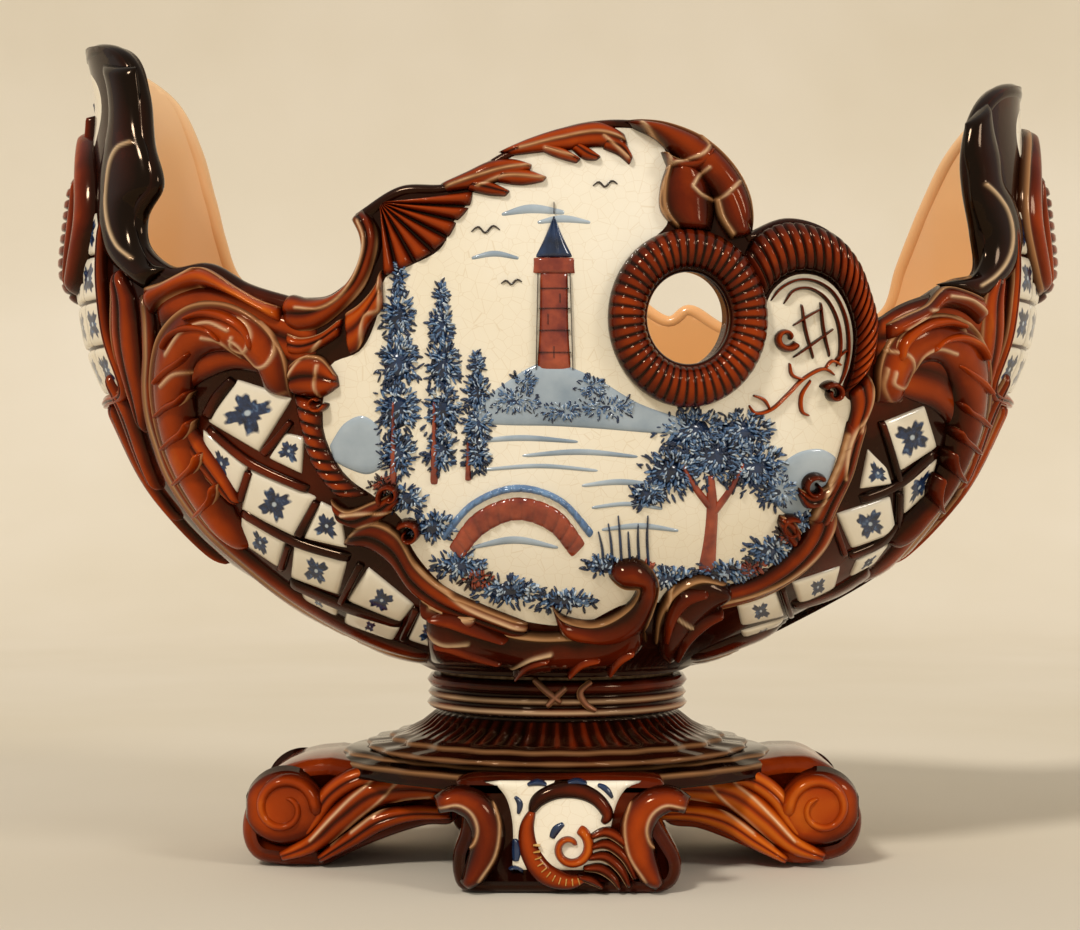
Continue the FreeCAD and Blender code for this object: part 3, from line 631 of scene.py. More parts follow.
def tile_glaze():
    """Cream tile with a brown edge and a four-petalled navy rosette. Glaze holds the place on the tile."""
    s = Shader("lattice_tile_glaze", roughness=0.11, coat=0.3)
    u, v, edge = s.glaze()[:3]
    radius = s.plain("SQRT", s.plain("ADD", s.plain("MULTIPLY", u, u), s.plain("MULTIPLY", v, v)))
    bearing = s.plain("ARCTAN2", v, u)
    petals = s.plain("COSINE", s.plain("MULTIPLY", bearing, PETALS))
    notches = s.plain("COSINE", s.plain("MULTIPLY", bearing, NOTCHES))
    reach = s.plain("MULTIPLY_ADD", notches, NOTCH_SHARE, FLOWER_SHARE)
    reach = s.plain("MULTIPLY_ADD", petals, -PETAL_SHARE, reach)
    reach = s.plain("MULTIPLY_ADD", s.noise(160.0), RAGGED_SHARE, reach)
    flower = s.spread(s.plain("SUBTRACT", reach, radius), *FLOWER_EDGE_SHARES)
    petal = s.ramp(s.noise(260.0), [(0.35, "0A142A"), (0.58, "1B3257"), (0.78, "5F7DA0")])
    eye = s.spread(radius, *EYE_EDGE_SHARES)
    ground = s.ramp(s.noise(18.0), [(0.3, "E9DCC2"), (0.7, "F5ECD8")])
    base = s.mix(flower, ground, s.mix(eye, petal, "B9C4CC"))
    return s.paint(s.mix(edge, base, "4A2210"), s.noise(80.0), strength=0.05)


def painted(name, dark, pale, scale=90.0):
    """Brushed glaze paint that varies between two colours."""
    s = Shader(name, roughness=0.14, coat=0.4)
    base = s.ramp(s.noise(scale, detail=5.0), [(0.32, dark), (0.68, pale)])
    return s.paint(base, s.noise(140.0), strength=0.05)


def zinc_metal():
    """Spangled zinc sheet gone dull."""
    s = Shader("zinc_sheet", roughness=0.45, metallic=0.9)
    cells = s.node("ShaderNodeTexVoronoi", {"Scale": 70.0, "Vector": s.place})
    tint = s.ramp(s.split(cells.outputs["Color"])[0], [(0.0, "7C8082"), (1.0, "A5A9AA")])
    base = s.mix(s.ramp(s.noise(25.0, detail=6.0), [(0.45, "000000"), (0.75, "FFFFFF")]), tint, "C2C2BC")
    return s.paint(base, s.noise(300.0), strength=0.1)


def worn_metal(name, dark, pale, roughness):
    """Cast or drawn metal with a mottled surface."""
    s = Shader(name, roughness=roughness, metallic=0.95)
    base = s.ramp(s.noise(60.0, detail=6.0), [(0.35, dark), (0.7, pale)])
    return s.paint(base, s.noise(400.0), strength=0.15)


def grained(name, dark, pale, scale):
    """Matt leather or cork with a grain."""
    s = Shader(name, roughness=0.8)
    base = s.ramp(s.noise(scale, detail=6.0), [(0.35, dark), (0.65, pale)])
    return s.paint(base, s.noise(2 * scale), strength=0.4)


BROWN = brown_glaze()
CREAM = cream_glaze()
PEACH = peach_glaze()
TILE = tile_glaze()
NAVY_PAINT = painted("navy_paint", "0C1426", "22385C")
STEEL_PAINT = painted("steel_paint", "35557F", "6C8CB0")
FROST_PAINT = painted("frost_paint", "8FA6BE", "D5DEE2")
HILL_PAINT = painted("hill_paint", "8494A2", "B4C0C8", 30.0)
BARK_PAINT = painted("bark_paint", "6A2012", "A84A28")
OUTLINE_PAINT = painted("outline_paint", "180C0C", "341C1C")
GOLD_PAINT = painted("gold_paint", "A9762B", "D9AE5F")


# Bowl

PICTURE_FIELD_PX = [
    (322, 405), (325, 440), (345, 475), (375, 497), (402, 520), (412, 548), (440, 582), (470, 602),
    (530, 622), (580, 624), (625, 604), (660, 602), (700, 592), (745, 583), (790, 560), (818, 515),
    (838, 475), (848, 430), (862, 412), (842, 392), (850, 365), (853, 335), (846, 305), (833, 285),
    (815, 275), (795, 275), (778, 285), (768, 300), (765, 340), (745, 380), (700, 400), (650, 390),
    (618, 355), (610, 310), (628, 258), (668, 222), (662, 185), (667, 152), (640, 128), (600, 126),
    (560, 132), (520, 145), (480, 164), (445, 180), (472, 192), (455, 218), (440, 248), (412, 264),
    (385, 277), (378, 312), (360, 350), (330, 365),
]

# Numbers of the bowl's materials
CREAM_KIND, BROWN_KIND, PEACH_KIND = range(3)
LOWER_FIELD_COUNT = 18
BACK_FIELD_DROP = 13.0
BACK_FIELD_SLANT = 0.15


def rim_line(stretches, side):
    """Rim of one side of the hull as (angle, height), from the left tip to the right.

    Side is 1 at the front and -1 at the back.
    """
    runs = []
    for stretch in stretches:
        places = np.array([(x * BOWL_HALF_LENGTH, SEAT_Z + z * BOWL_HEIGHT) for x, z in stretch])
        runs.append(smooth_line(places, int(line_length(places) / RIM_STEP))[:-1])
    x, z = np.concatenate(runs).T
    half_length, _ = hull_axes(z)
    kept = np.abs(x) < RIM_REACH_SHARE * half_length
    turn = side * np.arccos(x[kept] / half_length[kept])
    left, right = SEAT_Z + LEFT_TIP_SHARE * BOWL_HEIGHT, SEAT_Z + RIGHT_TIP_SHARE * BOWL_HEIGHT
    ends = np.array([(side * math.pi, left)]), np.array([(0.0, right)])
    return np.concatenate([ends[0], np.stack([turn, z[kept]], axis=1), ends[1]])


def rim_outline():
    """Closed rim as (angle, height): along the back from left to right, then along the front to the left."""
    back, front = rim_line(BACK_RIM_SHARES, -1), rim_line(FRONT_RIM_SHARES, 1)
    return np.concatenate([back, front[::-1][1:]])


def hull_point(turn, z, inner=False):
    """Points of the hull's outside or inside by angle and height."""
    a, b = hull_axes(z - (FLOOR_Z - SEAT_Z) if inner else z)
    inset = BOWL_WALL if inner else 0.0
    return np.stack([(a - inset) * np.cos(turn), -(b - inset) * np.sin(turn), z], axis=1)


def hole_outline():
    """Edge of the pierced hole as (angle, height)."""
    turns = np.linspace(0, FULL_TURN, HOLE_STEPS, endpoint=False)
    x = HOLE_SHARES[0] * BOWL_HALF_LENGTH + HOLE_RADIUS * np.cos(turns)
    z = SEAT_Z + HOLE_SHARES[1] * BOWL_HEIGHT + HOLE_TALL_SHARE * HOLE_RADIUS * np.sin(turns)
    return np.stack([np.arccos(x / hull_axes(z)[0]), z], axis=1)


def picture_outline():
    """Edge of the cream picture field as (angle, height)."""
    line = PICTURE_FIELD_PX + PICTURE_FIELD_PX[:1]
    points, _ = hull_ground(smooth_line(line, PICTURE_FIELD_STEPS)[:-1])
    half_length, _ = hull_axes(points[:, 2])
    return np.stack([np.arccos(np.clip(points[:, 0] / half_length, -1, 1)), points[:, 2]], axis=1)


def back_field_outline():
    """Edge of the cream field on the back as (angle, height): as on the front below, up to the rim above."""
    low, _ = hull_ground(smooth_line(PICTURE_FIELD_PX[:LOWER_FIELD_COUNT], LOWER_FIELD_STEPS))
    turn = -np.arccos(low[:, 0] / hull_axes(low[:, 2])[0])
    rim = rim_line(BACK_RIM_SHARES, -1)
    rim = rim[(rim[:, 0] > turn[0] + BACK_FIELD_SLANT) & (rim[:, 0] < turn[-1])] - [0.0, BACK_FIELD_DROP]
    edge = np.concatenate([np.stack([turn, low[:, 2]], axis=1), rim[::-1]])
    edge = np.concatenate([edge, edge[:1]])
    pieces = np.linalg.norm(np.diff(edge * [UNROLLED_RADIUS, 1.0], axis=0), axis=1)
    run = np.concatenate([[0.0], np.cumsum(pieces)])
    steps = np.linspace(0, run[-1], int(run[-1] / HULL_STEP))[:-1]
    return np.stack([np.interp(steps, run, edge[:, 0]), np.interp(steps, run, edge[:, 1])], axis=1)


def clear_grid(turns, heights, outer, fixed):
    """Even grid of places inside the outline that keeps off the fixed places."""
    columns, rows = np.meshgrid(turns[1:-1] * UNROLLED_RADIUS, heights)
    grid = np.stack([columns.ravel(), rows.ravel()], axis=1)
    grid = grid[inside(grid, outer)]
    clear = np.ones(len(grid), bool)
    for place in fixed:
        near = np.abs(grid[:, 0] - place[0]) < HULL_STEP / 2
        clear[near] &= np.abs(grid[near, 1] - place[1]) > HULL_STEP / 2
    return grid[clear]


def fixed_edges(closed_lines, open_line):
    """Edges along lines whose places are numbered one after the other."""
    edges, start = [], 0
    for line in [*closed_lines, open_line]:
        numbers = list(range(start, start + len(line)))
        edges += list(zip(numbers, numbers[1:]))
        if line is not open_line:
            edges.append((numbers[-1], numbers[0]))
        start += len(line)
    return edges


def unrolled_mesh():
    """Triangles of the hull's wall laid flat: (angle, height) of the points, and the triangles."""
    unroll = np.array([UNROLLED_RADIUS, 1.0])
    rim = rim_outline()
    tip = rim[-1, 1]
    turns = np.linspace(math.pi, -math.pi, int(FULL_TURN * UNROLLED_RADIUS / HULL_STEP))
    heights = np.linspace(SEAT_Z, tip, int((tip - SEAT_Z) / HULL_STEP))[1:-1]
    seam = np.stack([np.full(len(heights), math.pi), heights], axis=1)
    bottom = np.stack([turns, np.full(len(turns), SEAT_Z)], axis=1)
    floor = np.stack([turns, np.full(len(turns), FLOOR_Z)], axis=1) * unroll
    outer = np.concatenate([rim, seam[::-1], bottom, seam * [-1, 1]]) * unroll
    hole = hole_outline() * unroll
    fields = [picture_outline() * unroll, back_field_outline() * unroll]
    closed_lines = [outer, hole, *fields]
    fixed = np.concatenate([*closed_lines, floor])
    places = np.concatenate([fixed, clear_grid(turns, heights, outer, fixed)])
    edges = fixed_edges(closed_lines, floor)
    flat = delaunay_2d_cdt([Vector(p) for p in places], edges, [], INSIDE_ONLY, MERGE_DISTANCE, False)
    places = np.array([tuple(p) for p in flat[0]]) / unroll
    triangles = np.array([tuple(t) for t in flat[2]])
    centres = places[triangles].mean(axis=1)
    kept = inside(centres * unroll, outer) & ~inside(centres * unroll, hole)
    return places, triangles[kept]


def open_edges(triangles):
    """Edges that only one triangle has."""
    pairs = np.concatenate([triangles[:, [0, 1]], triangles[:, [1, 2]], triangles[:, [2, 0]]])
    _, where, times = np.unique(np.sort(pairs, axis=1), axis=0, return_index=True, return_counts=True)
    return pairs[where[times == 1]]


def level_disc(clay, turn, row, level, first, upward, kind):
    """Flat ring from a row of the hull's points in to the bolt's bore. First is the number of point 0."""
    row = row[np.argsort(turn[row])]
    ring = np.stack([COUNTERBORE_RADIUS * np.cos(turn[row]), -COUNTERBORE_RADIUS * np.sin(turn[row]),
                     np.full(len(row), level)], axis=1)
    near = clay.count + np.arange(len(row) - 1)
    clay.add(ring, [], FLOOR_GLAZE)
    faces = np.stack([near, near + 1, row[1:] + first, row[:-1] + first], axis=1)
    clay.add_faces(faces if upward else faces[:, ::-1], kind)


def bowl():
    """The hull: glazed outside with its picture fields, peach lining, rim, pierced hole and floor."""
    places, triangles = unrolled_mesh()
    turn, z = places.T
    outer, inner = hull_point(turn, z), hull_point(turn, np.maximum(z, FLOOR_Z), True)
    clay = Clay()
    count = len(places)
    centres = places[triangles].mean(axis=1)
    in_picture = inside(centres, picture_outline()) | inside(centres, back_field_outline())
    lined = triangles[(z[triangles] > FLOOR_Z - LEVEL_MARGIN).all(axis=1)]
    clay.add(np.concatenate([outer, inner]), triangles[in_picture], HULL_GLAZE, CREAM_KIND)
    clay.add_faces(triangles[~in_picture], BROWN_KIND)
    clay.add_faces(lined[:, ::-1] + count, PEACH_KIND)
    edges = open_edges(triangles)
    on_seam = (np.abs(turn[edges]) > SEAM_TURN).all(axis=1)
    on_seat = (z[edges] < SEAT_Z + LEVEL_MARGIN).all(axis=1)
    a, b = edges[~on_seam & ~on_seat].T
    clay.add_faces(np.stack([b, a, a + count, b + count], axis=1), BROWN_KIND)
    for level, first, upward, kind in ((FLOOR_Z, count, True, PEACH_KIND), (SEAT_Z, 0, False, BROWN_KIND)):
        row = np.where(np.abs(z - level) < LEVEL_MARGIN)[0]
        level_disc(clay, turn, row, level, first, upward, kind)
    clay.finish("bowl", [CREAM, BROWN, PEACH], "bowl_glaze", BOWL_NODES)


def rim_roll():
    """Rolled edge all round the rim."""
    rim = rim_outline()[:-1]
    turn, z = rim.T
    outer, inner = hull_point(turn, z), hull_point(turn, z, True)
    middle = (outer + inner) / 2
    out = outer - inner
    out /= np.linalg.norm(out, axis=1)[:, None]
    along = np.roll(middle, -1, axis=0) - np.roll(middle, 1, axis=0)
    along /= np.linalg.norm(along, axis=1)[:, None]
    up = np.cross(along, out)
    shares, sizes = np.array(RIM_ROLLS).T
    height = np.where(turn > 0, np.interp(middle[:, 0] / BOWL_HALF_LENGTH, shares, sizes), BACK_ROLL)
    sink = np.where(turn > 0, ROLL_SINK_SHARE, BACK_ROLL_SINK_SHARE) * height
    middle = middle - up * sink[:, None]
    width = np.maximum(height, BOWL_WALL / 2 + ROLL_OVERHANG)
    angles = np.linspace(0, FULL_TURN, ROLL_SIDES, endpoint=False)
    offsets = (np.cos(angles)[None, :, None] * (out * width[:, None])[:, None]
               + np.sin(angles)[None, :, None] * (up * height[:, None])[:, None])
    points = (middle[:, None] + offsets).reshape(-1, 3)
    clay = Clay()
    glaze = np.zeros((len(points), 3))
    least, gain = ROLL_RISE_SHARES
    glaze[:, 0] = np.tile(least + gain * np.clip(np.cos(angles), 0, 1), len(rim))
    tones = np.interp(np.abs(middle[:, 0]) / BOWL_HALF_LENGTH, ROLL_TONE_SHARES, ROLL_TONES)
    glaze[:, 1] = np.repeat(tones, len(angles))
    clay.add(points, grid_faces(len(rim), len(angles), True, True), glaze)
    lined = (turn < 0)[:, None] & (np.cos(angles) < PEACH_ROLL_SHARE)[None, :]
    clay.kinds = lined.ravel().astype(int).tolist()
    clay.finish("rim_roll", [BROWN, PEACH], "brown_glaze")


def pierced_ring():
    """Ring round the pierced hole, ribbed across, with a plain roll inside it."""
    x = HOLE_SHARES[0] * BOWL_HALF_LENGTH
    z = SEAT_Z + HOLE_SHARES[1] * BOWL_HEIGHT
    turn = math.acos(x / float(hull_axes(np.array([z]))[0][0]))
    centre, out = unrolled_ground(np.array([(turn * UNROLLED_RADIUS, z)]))
    centre, out = centre[0], out[0]
    side = np.cross([0, 0, 1], out)
    side /= np.linalg.norm(side)
    up = np.cross(out, side)
    clay = Clay()
    least, gain = RING_RISE_SHARES
    angles = np.linspace(0, FULL_TURN, ROWS_PER_RIB * RING_RIBS, endpoint=False)
    around = np.linspace(0, FULL_TURN, RING_SIDES, endpoint=False)
    rolls = [(RING_RADIUS, RING_THICKNESS, RING_RIBS, RING_RIB_DEPTH, RING_TONE),
             (HOLE_RADIUS + INNER_ROLL_GAP, INNER_ROLL_THICKNESS, 0, 0.0, 0.0)]
    for radius, thick, ribs, depth, tone in rolls:
        rib = rib_heights(angles * ribs / 2, ribs)
        size = thick - depth * (1 - rib)[:, None] * np.clip(np.sin(around), 0, 1)[None, :] ** 0.5
        reach = radius + size * np.cos(around)[None, :]
        share = np.where(np.sin(around) > 0, RING_LIFT_SHARE, RING_SINK_SHARE)
        lift = size * share[None, :] * np.sin(around)[None, :]
        points = (centre + (reach * np.cos(angles)[:, None])[:, :, None] * side
                  + HOLE_TALL_SHARE * (reach * np.sin(angles)[:, None])[:, :, None] * up
                  + lift[:, :, None] * out)
        rise = rib[:, None] * np.clip(least + gain * np.sin(around), 0, 1)[None, :]
        glaze = np.stack([rise, np.full_like(rise, tone), np.zeros_like(rise)], axis=2).reshape(-1, 3)
        faces = grid_faces(len(angles), len(around), True, True)
        clay.add(points.reshape(-1, 3), faces[:, ::-1], glaze)
    clay.finish("pierced_ring", [BROWN], "brown_glaze", "ring_scroll")


# Ornament on the front

FAN_PIVOT_PX = (381, 203)
FAN_TIPS_PX = [
    (474, 189), (471, 206), (458, 221), (449, 238), (434, 252), (415, 263), (397, 272), (382, 277),
]

CREST_PX = {
    "sweep": (
        [(622, 120), (665, 122), (705, 137), (735, 165), (750, 195), (754, 230)],
        [(634, 128), (655, 139), (672, 156), (692, 176), (713, 201), (734, 238)],
    ),
    "bulb": (
        [(668, 160), (660, 185), (660, 210), (676, 230)], [(702, 172), (712, 190), (716, 210), (712, 232)],
    ),
    "lobe": ([(712, 200), (716, 218), (730, 240)], [(738, 186), (748, 205), (752, 236)]),
    "curl": (
        [(660, 150), (680, 160), (700, 158), (709, 148)], [(668, 170), (685, 176), (704, 170), (716, 150)],
    ),
}
CREST_LINES_PX = [
    [(666, 168), (682, 163), (700, 157), (707, 147), (700, 138)],
    [(690, 190), (700, 198), (718, 200), (737, 184)], [(690, 189), (697, 178), (706, 171)],
    [(716, 202), (721, 219), (731, 236)],
    [(640, 126), (656, 140), (666, 152), (668, 168), (662, 186), (660, 205), (668, 222)],
]

SHELL_OUTER_PX = [
    (741, 256), (755, 233), (780, 220), (806, 221), (836, 233), (857, 257), (869, 287), (877, 317),
    (874, 345), (864, 372),
]
SHELL_INNER_PX = [
    (766, 300), (776, 286), (794, 275), (814, 275), (832, 284), (845, 303), (853, 333), (851, 362),
    (846, 385), (840, 398),
]
SHELL_LINES_PX = [
    [
        (770, 302), (780, 289), (797, 280), (815, 281), (832, 292), (844, 315), (848, 345), (845, 368),
        (838, 388),
    ],
    [(783, 305), (793, 291), (808, 288), (824, 297), (836, 318), (840, 345), (836, 368)],
    [(792, 326), (808, 316), (822, 308)], [(792, 358), (812, 344), (834, 328)],
    [(801, 303), (805, 330), (813, 360)], [(820, 301), (823, 330), (829, 358)],
    [(834, 361), (840, 355), (847, 349)],
]
SPRIG_PX = [
    [(748, 404), (755, 413), (770, 410), (788, 394), (803, 379), (824, 369), (836, 376)],
    [(789, 362), (792, 375), (806, 380)], [(811, 379), (801, 396), (802, 412), (810, 416)],
    [(770, 410), (764, 400), (752, 395)], [(824, 369), (832, 361), (842, 366)],
]
# Volutes: centre, radius, start and turn in degrees, and half-width
SHELL_VOLUTE_PX = ((831, 393), 10, 200, 420, 5.0)
SPRIG_VOLUTE_PX = ((786, 338), 12, 20, 380, 5.0)
SHELL_LINE_WIDTH_PX = 2.0
SPRIG_WIDTH_PX = 2.4

TOP_LEAVES_PX = [
    (
        [(440, 182), (466, 170), (490, 159), (512, 157), (533, 163)],
        [(446, 192), (470, 189), (494, 183), (514, 177), (531, 169)],
    ),
    ([(498, 168), (524, 167), (548, 176)], [(496, 182), (522, 185), (544, 181)]),
    ([(472, 178), (492, 181), (511, 190)], [(466, 190), (488, 195), (506, 196)]),
    (
        [(498, 150), (530, 136), (565, 125), (600, 120), (626, 132)],
        [(512, 155), (540, 152), (568, 150), (600, 147), (631, 153)],
    ),
    ([(548, 144), (564, 147), (582, 158)], [(538, 149), (556, 157), (577, 163)]),
    ([(580, 142), (592, 148), (602, 156)], [(570, 148), (584, 159), (597, 160)]),
    ([(606, 134), (624, 140), (634, 156)], [(602, 148), (618, 155), (630, 165)]),
]
TOP_LEAF_LINES_PX = [
    [(445, 187), (480, 175), (505, 168), (530, 165)], [(478, 186), (505, 176), (545, 178)],
    [(520, 148), (560, 138), (600, 132), (628, 140)], [(545, 148), (572, 156)], [(604, 136), (628, 158)],
]

LEFT_BAND_PX = (
    [
        (132, 64), (136, 92), (139, 126), (147, 160), (148, 186), (137, 199), (133, 220), (138, 244),
        (151, 262), (166, 267),
    ],
    [
        (98, 60), (105, 86), (107, 116), (101, 148), (95, 178), (94, 208), (98, 236), (106, 257),
        (122, 274), (142, 290),
    ],
)
BACK_LEFT_BAND_PX = ([(114, 66), (128, 94), *LEFT_BAND_PX[0][2:]], LEFT_BAND_PX[1])
LEFT_BAND_LINES_PX = [
    [(134, 142), (124, 148), (117, 160), (113, 180), (112, 205), (116, 230), (124, 247), (136, 258)],
    [(88, 118), (91, 128), (97, 135)],
]
LEFT_SHOULDER_PX = {
    "roll": (
        [(143, 286), (165, 281), (186, 271), (204, 266), (240, 287), (262, 299), (282, 306)],
        [(150, 318), (164, 304), (186, 292), (206, 288), (238, 299), (262, 312), (284, 326)],
    ),
    "arch": (
        [
            (294, 400), (288, 352), (264, 318), (228, 299), (190, 301), (162, 326), (152, 366), (156, 412),
            (172, 462), (200, 508), (242, 552),
        ],
        [
            (264, 392), (256, 370), (240, 358), (220, 354), (203, 361), (195, 380), (196, 406), (200, 438),
            (212, 474), (236, 510), (254, 545),
        ],
    ),
}
SHOULDER_GROUNDS_PX = {
    "left_shoulder_leaf": (
        [(152, 284), (196, 282), (240, 292), (282, 312), (318, 322)],
        [(166, 420), (190, 392), (232, 372), (276, 380), (316, 392)],
    ),
    "right_shoulder_leaf": (
        [(874, 322), (902, 304), (938, 292), (972, 286), (996, 290)],
        [(872, 372), (898, 396), (932, 412), (962, 440), (990, 420)],
    ),
}
SHOULDER_CARVING_PX = {
    "left_shoulder_leaf": [
        [(188, 320, 3), (212, 313, 7), (236, 319, 8), (254, 334, 7), (259, 353, 4)],
        [(170, 350, 3), (180, 334, 6), (198, 327, 7), (218, 331, 5), (230, 343, 2)],
        [(163, 382, 3), (175, 369, 7), (188, 360, 6), (200, 350, 2)],
        [(165, 414, 3), (177, 403, 7), (189, 396, 5), (196, 388, 2)],
        [(172, 446, 3), (184, 435, 7), (193, 427, 5), (198, 416, 2)],
        [(184, 479, 3), (196, 468, 6), (204, 459, 5), (207, 448, 2)],
        [(204, 509, 3), (214, 499, 6), (221, 489, 4), (222, 478, 2)],
    ],
    "right_shoulder_leaf": [
        [(960, 328, 3), (938, 322, 7), (914, 328, 8), (896, 344, 7), (891, 363, 4)],
        [(977, 360, 3), (968, 344, 6), (950, 337, 7), (932, 341, 5), (920, 353, 2)],
        [(980, 391, 3), (970, 379, 7), (958, 370, 6), (946, 362, 2)],
        [(976, 423, 3), (966, 413, 7), (956, 406, 5), (950, 398, 2)],
        [(966, 449, 3), (957, 440, 6), (950, 433, 5), (946, 424, 2)],
        [(951, 476, 3), (944, 466, 6), (941, 456, 4), (941, 446, 2)],
        [(930, 505, 3), (926, 493, 5), (927, 481, 4), (931, 470, 2)],
    ],
}
LATTICE_LEAVES_PX = {
    "left_shoulder_leaf": [
        [(186, 416, 4), (195, 440, 9), (211, 464, 10), (228, 486, 7), (241, 503, 3)],
        [(176, 440, 3), (184, 462, 7), (198, 486, 7), (212, 506, 3)],
    ],
    "right_shoulder_leaf": [
        [(970, 416, 3), (963, 440, 8), (951, 464, 9), (936, 487, 7), (920, 507, 3)],
        [(984, 440, 3), (976, 462, 6), (962, 486, 6), (948, 506, 3)],
    ],
}
LEFT_SHOULDER_LINES_PX = [
    [(226, 316), (248, 320), (258, 336), (250, 352), (238, 348), (240, 337)],
    [(176, 352), (192, 330), (216, 322), (236, 330)], [(144, 290), (165, 285), (185, 275), (199, 267)],
    [(152, 320), (165, 303), (182, 293), (204, 287)], [(200, 300), (222, 298), (244, 303), (260, 313)],
    [(264, 321), (276, 336), (279, 352), (273, 364), (262, 366), (254, 358), (246, 346), (238, 340)],
    [(211, 337), (226, 341), (238, 353), (248, 363)], [(236, 380), (250, 391), (268, 396), (288, 392)],
    [(172, 382), (185, 371), (200, 373), (213, 388)],
]
HORN_PX = (
    [
        (281, 301), (290, 294), (306, 297), (326, 296), (342, 287), (354, 270), (360, 250), (358, 234),
        (350, 218),
    ],
    [
        (284, 326), (300, 333), (322, 327), (346, 308), (364, 288), (374, 264), (379, 240), (374, 220),
        (362, 207),
    ],
)
HORN_LINES_PX = [
    [(300, 332), (318, 329), (334, 319), (352, 302), (367, 282), (376, 258), (379, 236), (375, 216)],
    [(300, 308), (322, 309), (342, 298), (356, 280), (364, 258), (366, 238), (360, 222)],
]
LEFT_FRAME_PX = {
    "upper": (
        [(286, 330), (302, 336), (322, 332), (344, 316)], [(288, 356), (302, 356), (318, 350), (340, 336)],
    ),
    "drip": (
        [(344, 312), (362, 300), (377, 282), (382, 266)], [(348, 356), (358, 350), (372, 322), (384, 308)],
    ),
    "knee": (
        [(288, 366), (302, 354), (321, 354), (338, 376)], [(290, 394), (304, 397), (322, 398), (340, 386)],
    ),
    "foot": (
        [(330, 496), (346, 508), (372, 500), (392, 492)], [(338, 522), (362, 528), (388, 516), (402, 500)],
    ),
    "sweep": (
        [(352, 528), (376, 520), (398, 530), (418, 562), (446, 586), (484, 604), (530, 622)],
        [(340, 546), (366, 548), (388, 562), (412, 592), (442, 612), (482, 626), (530, 640)],
    ),
}
LEFT_COLUMN_PX = (
    [(292, 392), (298, 420), (304, 446), (314, 470), (336, 498)],
    [(324, 402), (324, 428), (332, 452), (346, 474), (372, 496)],
)
LEFT_FRAME_LINES_PX = [
    [(298, 333), (315, 330), (331, 322), (350, 303)], [(290, 378), (300, 361), (314, 351), (323, 341)],
    [(320, 365), (318, 388), (325, 408), (324, 432), (334, 456), (350, 478), (374, 496)],
    [(379, 266), (379, 310), (367, 316), (361, 344), (355, 357)], [(345, 512), (370, 510), (400, 511)],
    [(346, 540), (360, 526), (380, 521), (398, 528)],
    [(400, 526), (409, 546), (421, 566), (441, 583), (466, 601), (526, 626)],
]
LEFT_FRAME_VOLUTES_PX = [
    ((391, 494), 12, 120, 420, 4.5), ((410, 532), 12, 200, 420, 4.5), ((318, 402), 9, 0, 360, 3.5),
]

RIGHT_BAND_PX = (
    [
        (968, 122), (966, 150), (970, 172), (973, 200), (979, 222), (985, 242), (983, 260), (973, 275),
        (952, 280), (938, 284),
    ],
    [
        (990, 100), (994, 128), (1000, 154), (1004, 182), (1015, 200), (1022, 222), (1022, 250),
        (1014, 272), (1000, 288), (984, 302),
    ],
)
BACK_RIGHT_BAND_PX = (
    [
        (1004, 112), (994, 136), (984, 164), (977, 190), (973, 212), (975, 236), (975, 256), (968, 272),
        *RIGHT_BAND_PX[0][8:],
    ],
    [(1012, 108), (1008, 132), (1006, 156), (1008, 180), *RIGHT_BAND_PX[1][4:]],
)
RIGHT_BAND_LINES_PX = [
    [(980, 186), (992, 200), (1000, 214), (1004, 232), (1003, 250), (997, 265), (987, 277), (974, 286)],
]
RIGHT_SHOULDER_PX = {
    "roll": (
        [(984, 300), (962, 290), (940, 286), (922, 304), (900, 314), (880, 324)],
        [(976, 330), (958, 314), (938, 310), (920, 322), (902, 334), (884, 344)],
    ),
    "arch": (
        [
            (874, 404), (873, 364), (886, 334), (910, 316), (940, 310), (967, 320), (984, 348), (986, 386),
            (978, 424), (958, 468), (928, 510), (894, 550),
        ],
        [
            (902, 404), (906, 384), (914, 371), (926, 364), (938, 367), (946, 384), (947, 406), (945, 432),
            (937, 464), (917, 500), (898, 520), (884, 542),
        ],
    ),
}
RIGHT_SHOULDER_LINES_PX = [
    [(880, 350), (898, 354), (906, 370), (897, 386), (885, 382), (886, 371)],
    [(898, 330), (920, 318), (942, 318), (956, 330)], [(922, 311), (945, 312), (964, 325), (977, 347)],
    [(940, 297), (960, 301), (980, 318)],
    [(880, 368), (878, 386), (886, 400), (896, 403), (906, 394), (912, 384)],
    [(908, 372), (914, 356), (928, 348), (944, 352)],
]
RIGHT_FRAME_PX = {
    "upper": (
        [(868, 372), (872, 392), (866, 414), (852, 440)], [(848, 392), (850, 408), (844, 432), (838, 456)],
    ),
    "stem": (
        [(866, 420), (858, 446), (850, 474), (836, 504), (824, 530)],
        [(846, 420), (840, 446), (832, 470), (818, 494), (806, 520)],
    ),
    "leaf": (
        [(836, 470), (824, 484), (808, 490), (796, 486)], [(830, 492), (818, 506), (804, 508), (796, 494)],
    ),
    "sweep": (
        [(838, 512), (826, 542), (800, 570), (764, 592), (716, 606), (676, 612)],
        [(812, 512), (798, 538), (778, 560), (748, 578), (710, 588), (676, 596)],
    ),
    "tip": ([(800, 530), (790, 516), (778, 514)], [(790, 548), (780, 534), (776, 522)]),
}
RIGHT_FRAME_LINES_PX = [
    [(862, 416), (850, 431), (843, 451), (840, 476)], [(845, 434), (836, 464), (822, 492), (808, 520)],
    [(836, 512), (820, 542), (794, 566), (756, 586), (712, 598)], [(870, 380), (868, 402), (856, 430)],
]
RIGHT_FRAME_VOLUTES_PX = [((812, 486), 12, 330, -400, 4.5), ((788, 526), 11, 330, -400, 4.0)]

